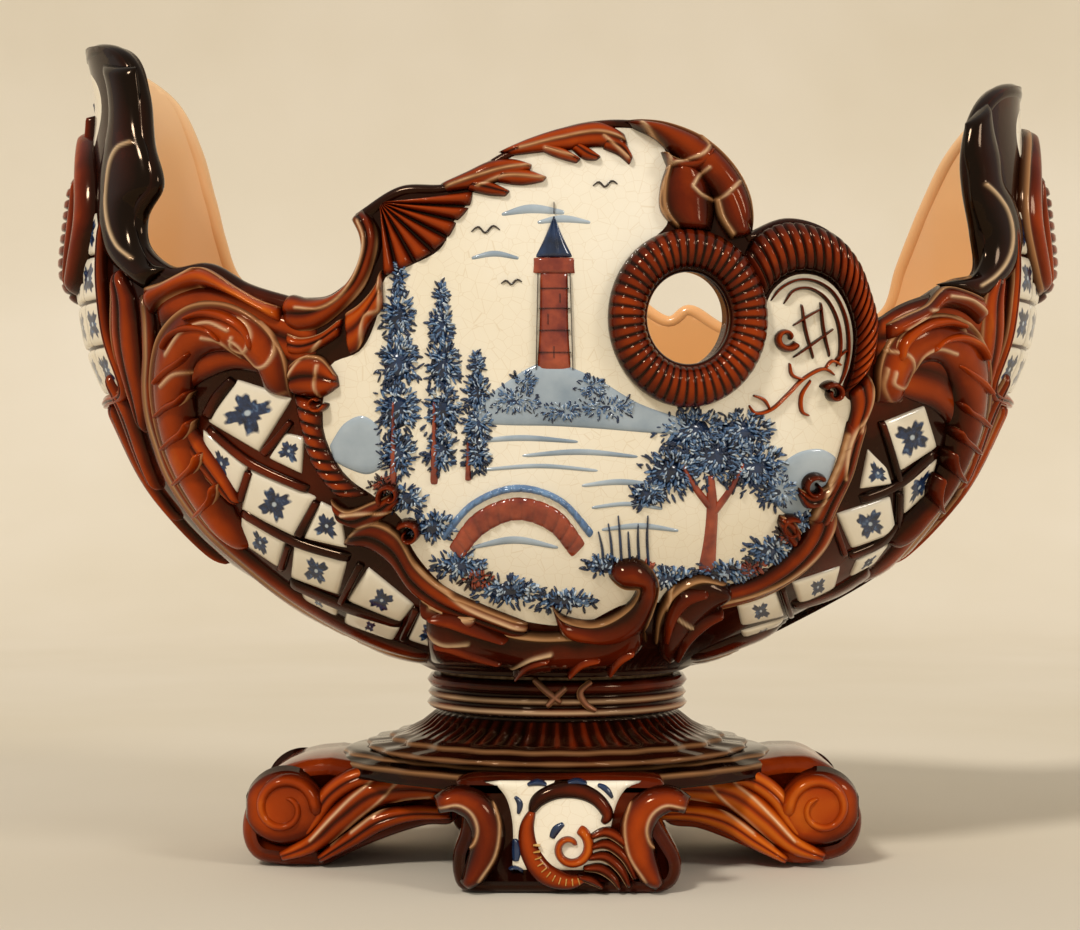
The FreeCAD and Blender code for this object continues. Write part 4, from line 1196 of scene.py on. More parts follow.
APRON_PX = {
    "body": (
        [(424, 598), (462, 610), (520, 628), (560, 630), (606, 622), (634, 598)],
        [(430, 664), (470, 666), (520, 668), (570, 668), (620, 664), (650, 640)],
    ),
    "scroll": (
        [(550, 600), (562, 613), (590, 619), (614, 611), (630, 599), (636, 585), (622, 586), (608, 577)],
        [(560, 636), (590, 640), (620, 640), (644, 628), (656, 602), (658, 578), (640, 558), (612, 560)],
    ),
    "right": (
        [(652, 640), (656, 606), (672, 584), (696, 573), (726, 580)],
        [(664, 662), (686, 648), (702, 626), (718, 606), (732, 590)],
    ),
    "left_leaf": ([(420, 590), (444, 604), (480, 612)], [(424, 612), (446, 622), (478, 620)]),
    "shell": ([(512, 660), (530, 648), (552, 643)], [(516, 672), (534, 670), (556, 668)]),
}
APRON_LINES_PX = [
    [
        (551, 598), (561, 610), (582, 618), (610, 611), (628, 598), (636, 584), (620, 586), (606, 577),
        (603, 566), (616, 557), (638, 556), (654, 570), (658, 585), (651, 604), (644, 626), (648, 646),
    ],
    [(433, 600), (458, 610), (482, 612)], [(430, 626), (450, 632), (472, 632)],
    [(664, 601), (674, 582), (692, 572), (720, 575)], [(665, 603), (682, 613), (716, 636)],
    [(514, 659), (530, 648), (551, 643)],
]

APRON_LEAVES_PX = [
    [(660, 634, 3), (668, 608, 7), (682, 591, 8), (706, 583, 3)],
    [(668, 650, 3), (682, 627, 7), (700, 611, 7), (720, 601, 2)],
    [(516, 668, 2), (530, 654, 6), (552, 647, 2)], [(566, 666, 2), (580, 652, 6), (600, 646, 2)],
    [(604, 664, 2), (616, 648, 6), (632, 638, 2)],
    [(428, 606, 2), (450, 611, 6), (478, 621, 6), (512, 632, 2)],
    [(436, 632, 2), (456, 636, 6), (480, 644, 6), (508, 652, 2)],
]

RIB_WIDTH_PX = 7.0
RIB_LINE_PX = {
    "left": [
        (141, 292), (148, 320), (150, 352), (149, 384), (152, 412), (160, 440), (174, 476), (208, 524),
        (250, 562), (300, 600), (360, 634), (430, 660),
    ],
    "right": [
        (994, 300), (989, 330), (984, 378), (981, 410), (974, 440), (950, 480), (918, 526), (870, 578),
        (800, 620), (744, 640), (690, 662),
    ],
}

LEFT_TILES_PX = [
    ((238, 382), (289, 398), (258, 449), (210, 420)), ((286, 434), (303, 438), (301, 472), (270, 457)),
    ((204, 432), (246, 466), (236, 494), (206, 458)), ((252, 472), (314, 497), (293, 534), (244, 509)),
    ((322, 503), (339, 512), (346, 546), (305, 537)), ((243, 516), (284, 541), (278, 565), (243, 541)),
    ((296, 545), (345, 562), (337, 592), (293, 576)), ((370, 569), (412, 604), (400, 619), (350, 600)),
    ((300, 584), (338, 600), (336, 614), (306, 598)), ((350, 608), (398, 627), (392, 638), (346, 622)),
    ((422, 612), (448, 626), (444, 648), (410, 638)),
]
LEFT_BARS_PX = [
    [(206, 426, 4), (250, 462, 5), (310, 490, 5)], [(240, 510, 5), (296, 541, 5), (352, 558, 5)],
    [(288, 580, 4), (345, 605, 5), (404, 624, 4)], [(262, 455, 5), (276, 440, 5), (292, 420, 4)],
    [(240, 502, 5), (250, 470, 5)], [(298, 537, 6), (318, 500, 5)], [(281, 570, 5), (290, 543, 4)],
    [(340, 604, 5), (362, 562, 5)], [(402, 640, 4), (418, 606, 5)],
    [(206, 418, 7), (218, 396, 7), (234, 378, 6)],
]
RIGHT_TILES_PX = [
    ((882, 424), (923, 408), (934, 446), (900, 469)), ((868, 450), (884, 468), (890, 482), (860, 488)),
    ((904, 480), (935, 460), (924, 492), (903, 512)), ((838, 514), (888, 498), (893, 531), (852, 546)),
    ((856, 560), (886, 544), (872, 562), (850, 574)), ((793, 582), (838, 567), (832, 586), (800, 603)),
    ((738, 604), (774, 592), (782, 614), (742, 623)), ((742, 630), (782, 618), (772, 630), (744, 642)),
]
RIGHT_BARS_PX = [
    [(858, 500, 5), (896, 484, 5), (936, 450, 5)], [(846, 556, 4), (878, 542, 4), (898, 522, 4)],
    [(790, 606, 4), (836, 590, 4), (870, 568, 4)], [(880, 420, 4), (890, 452, 4), (899, 484, 4)],
    [(830, 516, 4), (844, 556, 4)], [(898, 490, 4), (897, 530, 4)], [(780, 584, 4), (790, 616, 4)],
]

TILE_GROWTH = 1.18
TILE_SQUARENESS = 8
TILE_RELIEF = 3.4
TILE_SINK = 1.5
TILE_PATTERN_SHARE = 0.9
TILE_EDGE_SHARE = 0.9
TILE_EDGE_FADE_SHARE = 0.08


def place_tiles(clay, tiles, ground=hull_ground):
    """Pillow-shaped tiles on the hull. Their glaze holds the place on the tile, for its rosette."""
    count = TILE_STEPS
    q = np.linspace(-1, 1, count)
    u, v = (grid.ravel() for grid in np.meshgrid(q, q))
    s, t = ((u + 1) / 2)[:, None], ((v + 1) / 2)[:, None]
    rim = list(range(count)) + list(range(2 * count - 1, count * count, count))
    rim += list(range(count * count - 2, count * (count - 1) - 1, -1))
    rim += list(range(count * (count - 2), 0, -count))
    pillow = ((1 - u ** TILE_SQUARENESS) * (1 - v ** TILE_SQUARENESS)) ** 0.5
    edge = np.clip((np.maximum(np.abs(u), np.abs(v)) - TILE_EDGE_SHARE) / TILE_EDGE_FADE_SHARE, 0, 1)
    for corners in tiles:
        corners = np.array(corners, float)
        a, b, c, d = corners.mean(axis=0) + TILE_GROWTH * (corners - corners.mean(axis=0))
        places = (a * (1 - s) + b * s) * (1 - t) + (d * (1 - s) + c * s) * t
        points, normals = ground(places)
        points = points + normals * (TILE_RELIEF * pillow - TILE_SINK)[:, None]
        wide = np.linalg.norm((b + c - a - d) / 2) / np.linalg.norm((c + d - a - b) / 2)
        across, down = u * max(1, wide) * TILE_PATTERN_SHARE, v * max(1, 1 / wide) * TILE_PATTERN_SHARE
        clay.add(points, grid_faces(count, count).tolist() + [rim], np.stack([across, down, edge], axis=1))


def lattice(name, tiles, bars):
    """Tiles with bars of brown glaze between them, and the same again on the back."""
    pillows, strips = Clay(), Clay()
    place_tiles(pillows, tiles)
    strokes(strips, hull_ground, bars, relief=3.0, crown=4.0, tone=-0.3)
    parts = {"tiles": (pillows, TILE, "bowl_glaze"), "bars": (strips, BROWN, "brown_glaze")}
    for part, (clay, glaze, slot) in parts.items():
        finish_turned(clay, AS_IT_IS, f"{name}_{part}", glaze, slot)
        finish_turned(clay, TO_THE_BACK, f"back_{name}_{part}", glaze, slot)


def ornament(shapes, lines, volutes=(), form=LEAF, tones=(0.75, 0.95)):
    """Clay of one group of leaves with light lines on them, and volutes."""
    clay = Clay()
    for i, (left, right) in enumerate(shapes.values()):
        ribbon(clay, hull_ground, left, right, **{**form, "tone": tones[i % len(tones)], "lines": lines})
    for centre, radius, start, turn, half_width in volutes:
        stroke(clay, hull_ground, spiral(centre, radius, start, turn, half_width), relief=7.0, tone=0.3)
    return clay


def fan_edge(tip):
    """Edge of a flute of the fan, from its pivot to a tip."""
    x, y = FAN_PIVOT_PX
    return [(x, y), ((x + tip[0]) / 2, (y + tip[1]) / 2), tip]


def fan_and_crest():
    """Fan and leaves along the rim, the crest over the ring and the ribbed shell beside it."""
    fan = Clay()
    for start, end in zip(FAN_TIPS_PX, FAN_TIPS_PX[1:]):
        ribbon(fan, hull_ground, fan_edge(start), fan_edge(end), relief=5.0, tone=0.8)
    for left, right in TOP_LEAVES_PX:
        ribbon(fan, hull_ground, left, right, relief=4.5, ridges=2, groove=0.12, tone=0.7,
               lines=TOP_LEAF_LINES_PX)
    ribbon(fan, hull_ground, *HORN_PX, relief=8.0, ridges=2, groove=0.2, tone=0.6, lines=HORN_LINES_PX)
    fan.finish("fan_flutes", [BROWN], "brown_glaze", "fan_shell")
    crest = ornament(CREST_PX, CREST_LINES_PX, form=FAT_LEAF, tones=(0.4, 0.25))
    crest.finish("crest_leaves", [BROWN], "brown_glaze", "crest_scroll")
    shell = Clay()
    ribbon(shell, hull_ground, SHELL_OUTER_PX, SHELL_INNER_PX, relief=10.0, ribs=24, rib_groove=0.3,
           tone=0.65)
    lines = [thin(line, SHELL_LINE_WIDTH_PX) for line in SHELL_LINES_PX]
    strokes(shell, hull_ground, lines, relief=3.0, tone=0.3)
    strokes(shell, hull_ground, [thin(line, SPRIG_WIDTH_PX) for line in SPRIG_PX], relief=2.6, tone=0.9)
    stroke(shell, hull_ground, spiral(*SHELL_VOLUTE_PX), relief=7.0, tone=0.1)
    stroke(shell, hull_ground, spiral(*SPRIG_VOLUTE_PX), relief=5.0, tone=0.6)
    shell.finish("shell_arch", [BROWN], "brown_glaze", "shell_scroll")


def side_leaves():
    """Leaves and scrolls at both sides of the picture and under it, and those repeated on the back."""
    groups = {
        "left_shoulder_leaf": ornament(LEFT_SHOULDER_PX, LEFT_SHOULDER_LINES_PX, form=FAT_LEAF,
                                       tones=(0.95, 0.8)),
        "right_shoulder_leaf": ornament(RIGHT_SHOULDER_PX, RIGHT_SHOULDER_LINES_PX, form=FAT_LEAF,
                                        tones=(0.4, 0.5)),
        "left_frame_scroll": ornament(LEFT_FRAME_PX, LEFT_FRAME_LINES_PX, LEFT_FRAME_VOLUTES_PX,
                                      tones=(0.8, 1.1, 0.7, 0.45, 0.4)),
        "right_frame_scroll": ornament(RIGHT_FRAME_PX, RIGHT_FRAME_LINES_PX, RIGHT_FRAME_VOLUTES_PX,
                                       tones=(0.55, 0.65)),
        "apron_scroll": ornament(APRON_PX, APRON_LINES_PX, form=FAT_LEAF, tones=(-0.1, 0.1)),
    }
    for node, (left, right) in SHOULDER_GROUNDS_PX.items():
        ribbon(groups[node], hull_ground, left, right, relief=3.5, crown=6.0, ridges=3, groove=0.3, tone=0.75)
        strokes(groups[node], hull_ground, SHOULDER_CARVING_PX[node], relief=12.5, lip=0.7, tone=0.7)
        strokes(groups[node], hull_ground, LATTICE_LEAVES_PX[node], **LEAF, tone=0.7)
    ribbon(groups["left_frame_scroll"], hull_ground, *LEFT_COLUMN_PX, relief=6.5, ribs=9, rib_groove=0.25,
           tone=0.4)
    strokes(groups["apron_scroll"], hull_ground, APRON_LEAVES_PX, relief=12.5, lip=0.7, tone=0.3)
    for node, clay in groups.items():
        turn = HALF_ROUND if node == "apron_scroll" else TO_THE_BACK
        finish_turned(clay, AS_IT_IS, f"{node}_glazed", BROWN, "brown_glaze", node)
        finish_turned(clay, turn, f"back_{node}_glazed", BROWN, "brown_glaze", f"back_{node}")


def ribs_and_bands():
    """Mouldings between the panels on all four corners, and the broad bands under the two tips."""
    bands = {"left": (LEFT_BAND_PX, BACK_LEFT_BAND_PX, LEFT_BAND_LINES_PX),
             "right": (RIGHT_BAND_PX, BACK_RIGHT_BAND_PX, RIGHT_BAND_LINES_PX)}
    for side, line in RIB_LINE_PX.items():
        front, back, lines = bands[side]
        rows = [(x, y, RIB_WIDTH_PX) for x, y in line]
        for face, turn, (left, right) in (("front", AS_IT_IS, front), ("back", TO_THE_BACK, back)):
            corner = f"{face}_{side}"
            rib, band = Clay(), Clay()
            stroke(rib, hull_ground, rows, relief=5.0, ridges=2, tone=0.5, lines=[line])
            ribbon(band, hull_ground, left, right, relief=6.0, crown=2.4, tone=-0.7, taper=0.05, lines=lines)
            for clay, name, node in ((rib, "moulding", "rib"), (band, "band", "tip_band")):
                finish_turned(clay, turn, f"{corner}_{name}", BROWN, "brown_glaze", f"{corner}_{node}")


# Ends of the hull

# Drop below the tip and half-width
PROW_PANEL = [(12.0, 24.0), (22.0, 50.0), (40.0, 60.0), (58.0, 46.0), (74.0, 14.0)]
# Share of the bowl's height and half-width
PROW_LEAF_SHARES = [(0.81, 5.0), (0.765, 15.0), (0.70, 24.0), (0.65, 26.0), (0.612, 20.0), (0.582, 8.0)]
# Run round the hull from the middle of the end, height and half-width
PROW_FLANKS = [
    [
        (8.0, 432.0, 3.0), (28.0, 418.0, 8.0), (48.0, 396.0, 12.0), (56.0, 370.0, 13.0),
        (46.0, 346.0, 10.0), (30.0, 334.0, 4.0),
    ],
    [(34.0, 402.0, 3.0), (34.0, 380.0, 8.0), (30.0, 356.0, 8.0), (22.0, 336.0, 3.0)],
]
# Run, drop below the tip and half-width
PROW_SPUR = [(22.0, 38.0, 2.5), (23.0, 50.0, 4.0), (24.0, 70.0, 5.0)]
PROW_RIBS = 12
# Run, height and half-width of the leaves below
END_LEAVES = [
    [(99.0, 342.0, 4.0), (103.0, 324.0, 10.0), (99.0, 302.0, 12.0), (91.0, 274.0, 9.0), (80.0, 250.0, 3.0)],
    [(66.0, 286.0, 3.0), (66.0, 264.0, 9.0), (58.0, 240.0, 9.0), (50.0, 218.0, 3.0)],
    [(44.0, 270.0, 4.0), (36.0, 250.0, 9.0), (34.0, 226.0, 8.0), (32.0, 200.0, 3.0)],
    [(6.0, 272.0, 3.0), (12.0, 254.0, 10.0), (12.0, 226.0, 10.0), (8.0, 198.0, 6.0), (2.0, 174.0, 2.0)],
    [
        (83.0, 378.0, 3.0), (84.0, 350.0, 3.5), (84.0, 310.0, 3.5), (81.0, 276.0, 3.5), (46.0, 271.0, 3.5),
        (2.0, 270.0, 3.0),
    ],
]
ROSETTE_DROP = 38.0
ROSETTE_PETALS = 6
# Reach from the middle and half-width
ROSETTE_PETAL = [(3.0, 1.5), (9.0, 4.2), (17.0, 1.5)]
END_TILE = 26.0
END_TILE_GAP = 3.5
END_LATTICE_BOTTOM = 276.0
END_LATTICE_COLUMNS = 6
END_LATTICE_ROWS = 4


def prow(side, turn, tip_share):
    """Cream panel, lattice, scrolls and the big leaf down the middle of one end of the hull."""
    middle = turn * UNROLLED_RADIUS
    tip = SEAT_Z + tip_share * BOWL_HEIGHT
    panel, leaf, tiles, rosette = (Clay() for _ in range(4))
    rows = [(middle, tip - drop, width) for drop, width in PROW_PANEL]
    stroke(panel, unrolled_ground, rows, relief=0.6, crown=12.0, sink=1.0, taper=0.04)
    rows = [(middle, SEAT_Z + share * BOWL_HEIGHT, width) for share, width in PROW_LEAF_SHARES]
    stroke(leaf, unrolled_ground, rows, relief=15.0, ribs=PROW_RIBS, rib_groove=0.2, tone=0.7, taper=0.3)
    for hand in (-1, 1):
        rows = [(middle + hand * run, tip - drop, width) for run, drop, width in PROW_SPUR]
        stroke(leaf, unrolled_ground, rows, relief=6.0, tone=0.4)
        for lines, form in ((PROW_FLANKS, FAT_LEAF), (END_LEAVES, LEAF)):
            for line in lines:
                rows = [(middle + hand * run, height, width) for run, height, width in line]
                stroke(leaf, unrolled_ground, rows, **{**form, "tone": 0.75})
    size = END_TILE - END_TILE_GAP
    cells = []
    for column in range(-END_LATTICE_COLUMNS // 2, END_LATTICE_COLUMNS // 2):
        for row in range(END_LATTICE_ROWS):
            low, left = END_LATTICE_BOTTOM + row * END_TILE, middle + column * END_TILE + END_TILE_GAP / 2
            cells.append([(left + size, low + size), (left, low + size), (left, low), (left + size, low)])
    place_tiles(tiles, cells, unrolled_ground)
    for i in range(ROSETTE_PETALS):
        bearing = FULL_TURN * (i + 0.5) / ROSETTE_PETALS
        rows = [(middle + reach * math.cos(bearing), tip - ROSETTE_DROP + reach * math.sin(bearing), width)
                for reach, width in ROSETTE_PETAL]
        stroke(rosette, unrolled_ground, rows, relief=1.6)
    panel.finish(f"{side}_end_panel", [CREAM], "bowl_glaze")
    rosette.finish(f"{side}_end_rosette", [NAVY_PAINT], "bowl_glaze")
    tiles.finish(f"{side}_end_tiles", [TILE], "bowl_glaze")
    leaf.finish(f"{side}_prow_leaf", [BROWN], "brown_glaze", f"{side}_prow_scroll")


# Picture: a lake with a bridge, poplars, a tower on a far hill and a round tree

HILLS_PX = [
    (
        [(470, 412), (500, 384), (545, 358), (590, 372), (640, 402), (690, 420)],
        [(470, 424), (510, 428), (550, 430), (600, 432), (640, 434), (690, 436)],
    ),
    ([(328, 446), (344, 420), (362, 412), (380, 424)], [(334, 462), (350, 472), (368, 478), (384, 470)]),
    ([(770, 470), (800, 448), (822, 446), (838, 456)], [(768, 500), (790, 520), (812, 512), (826, 490)]),
]
CLOUDS_PX = [
    [(500, 214, 2), (530, 208, 6), (566, 212, 3)], [(536, 222, 2), (562, 218, 5), (592, 222, 2)],
    [(470, 258, 2), (494, 253, 4), (520, 258, 2)],
]
WATER_PX = [
    [(470, 442, 2), (520, 438, 4), (580, 442, 2)], [(520, 456, 2), (580, 452, 4), (640, 457, 2)],
    [(480, 470, 2), (540, 466, 3), (600, 471, 2)], [(580, 486, 2), (620, 482, 4), (668, 487, 2)],
    [(470, 548, 2), (514, 540, 5), (560, 548, 2)], [(590, 508, 2), (628, 504, 3), (664, 509, 2)],
    [(600, 530, 2), (640, 526, 4), (680, 531, 2)],
]
# Crowns and bushes: centre, half-width and half-height
POPLARS_PX = [
    (396, 455, 20, 26), (395, 412, 25, 32), (397, 364, 24, 32), (397, 318, 18, 30), (398, 278, 9, 24),
    (440, 452, 18, 24), (440, 412, 22, 30), (441, 368, 20, 30), (440, 328, 14, 26), (441, 298, 7, 18),
    (476, 456, 15, 20), (476, 426, 17, 24), (476, 394, 14, 22), (476, 368, 7, 18),
]
ROUND_TREE_PX = [
    (712, 458, 46, 32), (668, 474, 32, 26), (754, 470, 36, 28), (690, 432, 38, 24), (738, 434, 38, 24),
    (776, 492, 24, 18), (646, 496, 20, 15),
]
BUSHES_PX = [
    (512, 402, 30, 16), (606, 408, 32, 14), (560, 412, 26, 11), (590, 388, 18, 12), (524, 382, 14, 12),
    (404, 500, 26, 14), (432, 528, 26, 16), (458, 566, 30, 16), (506, 592, 38, 16), (562, 602, 34, 12),
    (606, 566, 26, 12), (664, 580, 34, 13), (722, 574, 34, 14), (768, 552, 26, 16), (800, 524, 14, 14),
]
SHRUBS_PX = [
    (382, 486, 14, 10), (476, 580, 18, 10), (638, 570, 18, 12), (748, 568, 18, 10), (786, 536, 12, 10),
]
TRUNKS_PX = [
    [(393, 492, 5), (393, 460, 4), (393, 400, 2)], [(434, 486, 5), (434, 455, 4), (434, 400, 2)],
    [(468, 482, 4), (468, 440, 2)], [(706, 574, 11), (710, 540, 8), (712, 510, 7), (710, 474, 5)],
    [(711, 516, 5), (730, 490, 4), (744, 462, 2)], [(711, 508, 5), (694, 486, 4), (682, 464, 2)],
]
BRIDGE_PX = (
    [(446, 548), (474, 512), (516, 496), (558, 508), (588, 544)],
    [(462, 562), (484, 536), (516, 522), (548, 532), (572, 560)],
)
PARAPET_PX = (
    [(438, 536), (472, 500), (516, 484), (560, 496), (596, 532)],
    [(444, 544), (475, 508), (516, 493), (558, 504), (590, 541)],
)
TOWER_PX = ([(534, 372), (537, 330), (538, 268)], [(574, 372), (571, 330), (570, 268)])
TOWER_TOP_PX = ([(530, 274), (531, 266), (531, 256)], [(578, 274), (577, 266), (577, 256)])
TOWER_ROOF_PX = ([(532, 258), (542, 240), (554, 214)], [(576, 258), (566, 240), (554, 214)])
TOWER_LINES_PX = [
    [(537, 352), (572, 352)], [(538, 330), (571, 330)], [(538, 308), (571, 308)], [(539, 288), (570, 288)],
    [(554, 344), (554, 360)], [(548, 312), (548, 326)], [(560, 292), (560, 304)], [(554, 214), (554, 200)],
    [(536, 372), (538, 270)], [(573, 372), (570, 270)],
]
BIRDS_PX = [
    [(470, 232), (478, 226), (485, 232), (493, 225), (501, 230)],
    [(500, 284), (506, 280), (511, 284), (517, 279), (523, 282)],
    [(592, 186), (599, 181), (605, 186), (612, 180), (619, 184)],
]
REED_COUNT = 6
REEDS_PX = [
    [(604 + 9 * i, 572, 2), (602 + 9 * i, 548 - 5 * (i % 3), 2), (598 + 10 * i, 530 - 8 * (i % 3), 1)]
    for i in range(REED_COUNT)
]
BACK_HILLS_PX = [
    (
        [(400, 440), (450, 404), (510, 388), (570, 402), (640, 424), (700, 436)],
        [(400, 448), (450, 446), (510, 444), (570, 446), (640, 450), (700, 448)],
    ),
    ([(640, 430), (700, 410), (750, 402), (800, 420)], [(640, 446), (700, 450), (750, 452), (800, 446)]),
]
BACK_WATER_PX = [
    [(440, 466, 2), (500, 462, 4), (570, 467, 2)], [(520, 484, 2), (580, 480, 4), (650, 485, 2)],
    [(560, 510, 2), (620, 506, 5), (690, 511, 2)], [(470, 530, 2), (520, 526, 4), (580, 531, 2)],
    [(480, 330, 2), (520, 324, 5), (570, 330, 2)], [(660, 346, 2), (700, 340, 5), (740, 346, 2)],
]
BACK_TRUNKS_PX = [
    [(690, 572, 10), (700, 530, 8), (694, 480, 6), (676, 430, 4)],
    [(698, 510, 5), (722, 470, 4), (736, 430, 2)],
]
BACK_CROWNS_PX = [
    (668, 400, 44, 30), (708, 376, 40, 28), (744, 408, 34, 26), (640, 424, 24, 18), (420, 510, 26, 18),
    (446, 548, 30, 18), (500, 580, 36, 16), (562, 598, 36, 12), (632, 582, 32, 14), (720, 568, 34, 16),
    (770, 540, 24, 16), (420, 440, 22, 14), (456, 446, 20, 9),
]
BACK_SHRUBS_PX = [(400, 486, 14, 10), (590, 580, 16, 10), (676, 576, 18, 10), (790, 512, 12, 10)]
PICTURE_SEED = 7
BACK_PICTURE_SEED = 8
PICTURE_PAINTS = {
    "hills": HILL_PAINT,
    "foliage": NAVY_PAINT,
    "leaves": STEEL_PAINT,
    "highlights": FROST_PAINT,
    "bark": BARK_PAINT,
    "outlines": OUTLINE_PAINT,
}
TOWER_LINE_WIDTH_PX = 1.6
BIRD_WIDTH_PX = 1.5
DAB_SIDES = 8
DAB_SINK = 0.5
# Bush: its dark core, and for each layer of brush marks the share of marks, reach, size, relief and shift
BUSH_CORE_SHARE = 0.86
BUSH_CORE_RELIEF = 1.2
BUSH_LAYER_SHARES = [(1.0, 1.0, 5.0, 1.7, 0.0), (0.8, 0.8, 4.2, 2.3, 0.12), (0.4, 0.72, 3.4, 2.9, 0.2)]
FEWEST_MARKS = 16
MARKS_PER_AREA = 0.09
MARK_PLACE_SHARES = (0.05, 1)
MARK_LENGTH_SHARES = (0.8, 1.5)
MARK_WIDTH_SHARES = (0.3, 0.5)
MARK_TURNS = (-0.7, 0.7)


def dabs(clay, places, sizes, turns, relief):
    """Brush marks: low closed domes at places, with half-lengths and half-widths, each turned."""
    around = np.linspace(0, FULL_TURN, DAB_SIDES, endpoint=False)
    ring = np.stack([np.cos(around), np.sin(around)], axis=1)[None] * sizes[:, None]
    c, s = np.cos(turns)[:, None], np.sin(turns)[:, None]
    ring = np.stack([ring[:, :, 0] * c - ring[:, :, 1] * s, ring[:, :, 0] * s + ring[:, :, 1] * c], axis=2)
    pixels = np.concatenate([places[:, None], places[:, None] + ring], axis=1)
    points, normals = hull_ground(pixels.reshape(-1, 2))
    lift = np.tile([relief] + [-DAB_SINK] * DAB_SIDES, len(places))
    faces = []
    for start in range(0, len(points), DAB_SIDES + 1):
        rim = [start + 1 + i for i in range(DAB_SIDES)]
        faces += [(start, b, a) for a, b in zip(rim, rim[1:] + rim[:1])] + [rim]
    clay.add(points + normals * lift[:, None], faces)


def bush(rng, layers, x, y, wide, tall):
    """Crown or bush: a dark mass with a ragged edge and lighter marks towards its upper right."""
    middle = np.array([(x, y)], float)
    core = np.array([(BUSH_CORE_SHARE * wide, BUSH_CORE_SHARE * tall)])
    dabs(layers[0], middle, core, np.zeros(1), BUSH_CORE_RELIEF)
    count = int(FEWEST_MARKS + MARKS_PER_AREA * wide * tall)
    for clay, (part, reach, size, lift, shift) in zip(layers, BUSH_LAYER_SHARES):
        number = int(part * count)
        away = reach * np.sqrt(rng.uniform(*MARK_PLACE_SHARES, number))
        bearing = rng.uniform(0, FULL_TURN, number)
        across = wide * (away * np.cos(bearing) + shift)
        down = tall * (away * np.sin(bearing) - shift)
        places = middle + np.stack([across, down], axis=1)
        lengths = rng.uniform(*MARK_LENGTH_SHARES, number)
        widths = rng.uniform(*MARK_WIDTH_SHARES, number)
        sizes = size * np.stack([lengths, widths], axis=1)
        dabs(clay, places, sizes, bearing + rng.uniform(*MARK_TURNS, number), lift)


def landscape(seed, hills, water, trunks, crowns, shrubs):
    """Clay of the hills, water, trees and shrubs of a picture, by paint."""
    rng = np.random.default_rng(seed)
    clays = {part: Clay() for part in PICTURE_PAINTS}
    for left, right in hills:
        ribbon(clays["hills"], hull_ground, left, right, relief=0.8, crown=8.0, sink=0.8)
    strokes(clays["hills"], hull_ground, water, relief=0.6, sink=0.8)
    strokes(clays["bark"], hull_ground, trunks, relief=1.6)
    for crown in crowns:
        bush(rng, (clays["foliage"], clays["leaves"], clays["highlights"]), *crown)
    for shrub in shrubs:
        bush(rng, (clays["outlines"], clays["bark"], clays["bark"]), *shrub)
    return clays


def picture():
    """Low-relief landscape in the cream field."""
    clays = landscape(PICTURE_SEED, HILLS_PX, WATER_PX + CLOUDS_PX, TRUNKS_PX,
                      POPLARS_PX + ROUND_TREE_PX + BUSHES_PX, SHRUBS_PX)
    navy, bark, lines = clays["foliage"], clays["bark"], clays["outlines"]
    strokes(navy, hull_ground, REEDS_PX, relief=1.4)
    ribbon(bark, hull_ground, *BRIDGE_PX, relief=2.4, ribs=13, rib_groove=0.3, crown=4.0)
    ribbon(clays["leaves"], hull_ground, *PARAPET_PX, relief=2.8, ribs=19, rib_groove=0.3)
    ribbon(bark, hull_ground, *TOWER_PX, relief=1.6, crown=4.0)
    ribbon(bark, hull_ground, *TOWER_TOP_PX, relief=2.2, crown=4.0)
    ribbon(navy, hull_ground, *TOWER_ROOF_PX, relief=2.4, ridges=3)
    strokes(lines, hull_ground, [thin(line, TOWER_LINE_WIDTH_PX) for line in TOWER_LINES_PX], relief=2.4)
    strokes(lines, hull_ground, [thin(line, BIRD_WIDTH_PX) for line in BIRDS_PX], relief=1.4)
    finish_picture("picture", AS_IT_IS, clays)


def back_picture():
    """Plainer landscape in the field on the back: hills over water, bushes and a leaning tree."""
    clays = landscape(BACK_PICTURE_SEED, BACK_HILLS_PX, BACK_WATER_PX, BACK_TRUNKS_PX, BACK_CROWNS_PX,
                      BACK_SHRUBS_PX)
    finish_picture("back_picture", TO_THE_BACK, clays)


def finish_picture(name, turn, clays):
    """Makes the painted pieces of a picture, on the front or mirrored on the back."""
    for part, clay in clays.items():
        finish_turned(clay, turn, f"{name}_{part}", PICTURE_PAINTS[part], "bowl_glaze")


# Pedestal

FOOT_HEIGHT = 52.0
PLINTH_TOP = 66.0
# Radius and height
STEM_PROFILE = [
    (50.0, 66.0), (112.0, 66.0), (112.5, 68.0), (111.0, 69.5), (99.0, 70.5), (98.5, 72.5), (96.5, 73.8),
    (90.0, 75.5), (80.0, 80.0), (73.0, 86.0), (70.0, 88.0), (72.0, 88.6), (76.0, 90.0), (77.5, 92.0),
    (76.0, 94.0), (72.5, 95.0), (75.5, 96.2), (77.0, 98.2), (75.5, 100.2), (72.5, 101.2), (75.5, 102.4),
    (77.5, 105.5), (75.5, 108.8), (73.0, 110.0), (50.0, 110.0),
]
BAND_RADIUS = 76.5
COLLAR_HEIGHTS = (75.0, 88.0)
COLLAR_RISE_SHARES = (0.2, 0.6)
COLLAR_FLUTES = 64
FLUTE_HEIGHTS = (76.0, 87.0)
FLUTE_FADES = (4.0, 2.0)
FLUTE_DEPTH = 1.3
WAVE_LOBES = 22
MAT_HEIGHTS = (66.5, 74.5)
MAT_WAVE = 1.6
MAT_RISE = 0.35
REED_FOOT_RADIUS = 70.0
REED_REACH = 8.0
STEM_TONE = 0.2
LIGHT_HEIGHTS = [68.0, 72.5, 92.0, 98.2]
STEM_LIGHT = 0.6
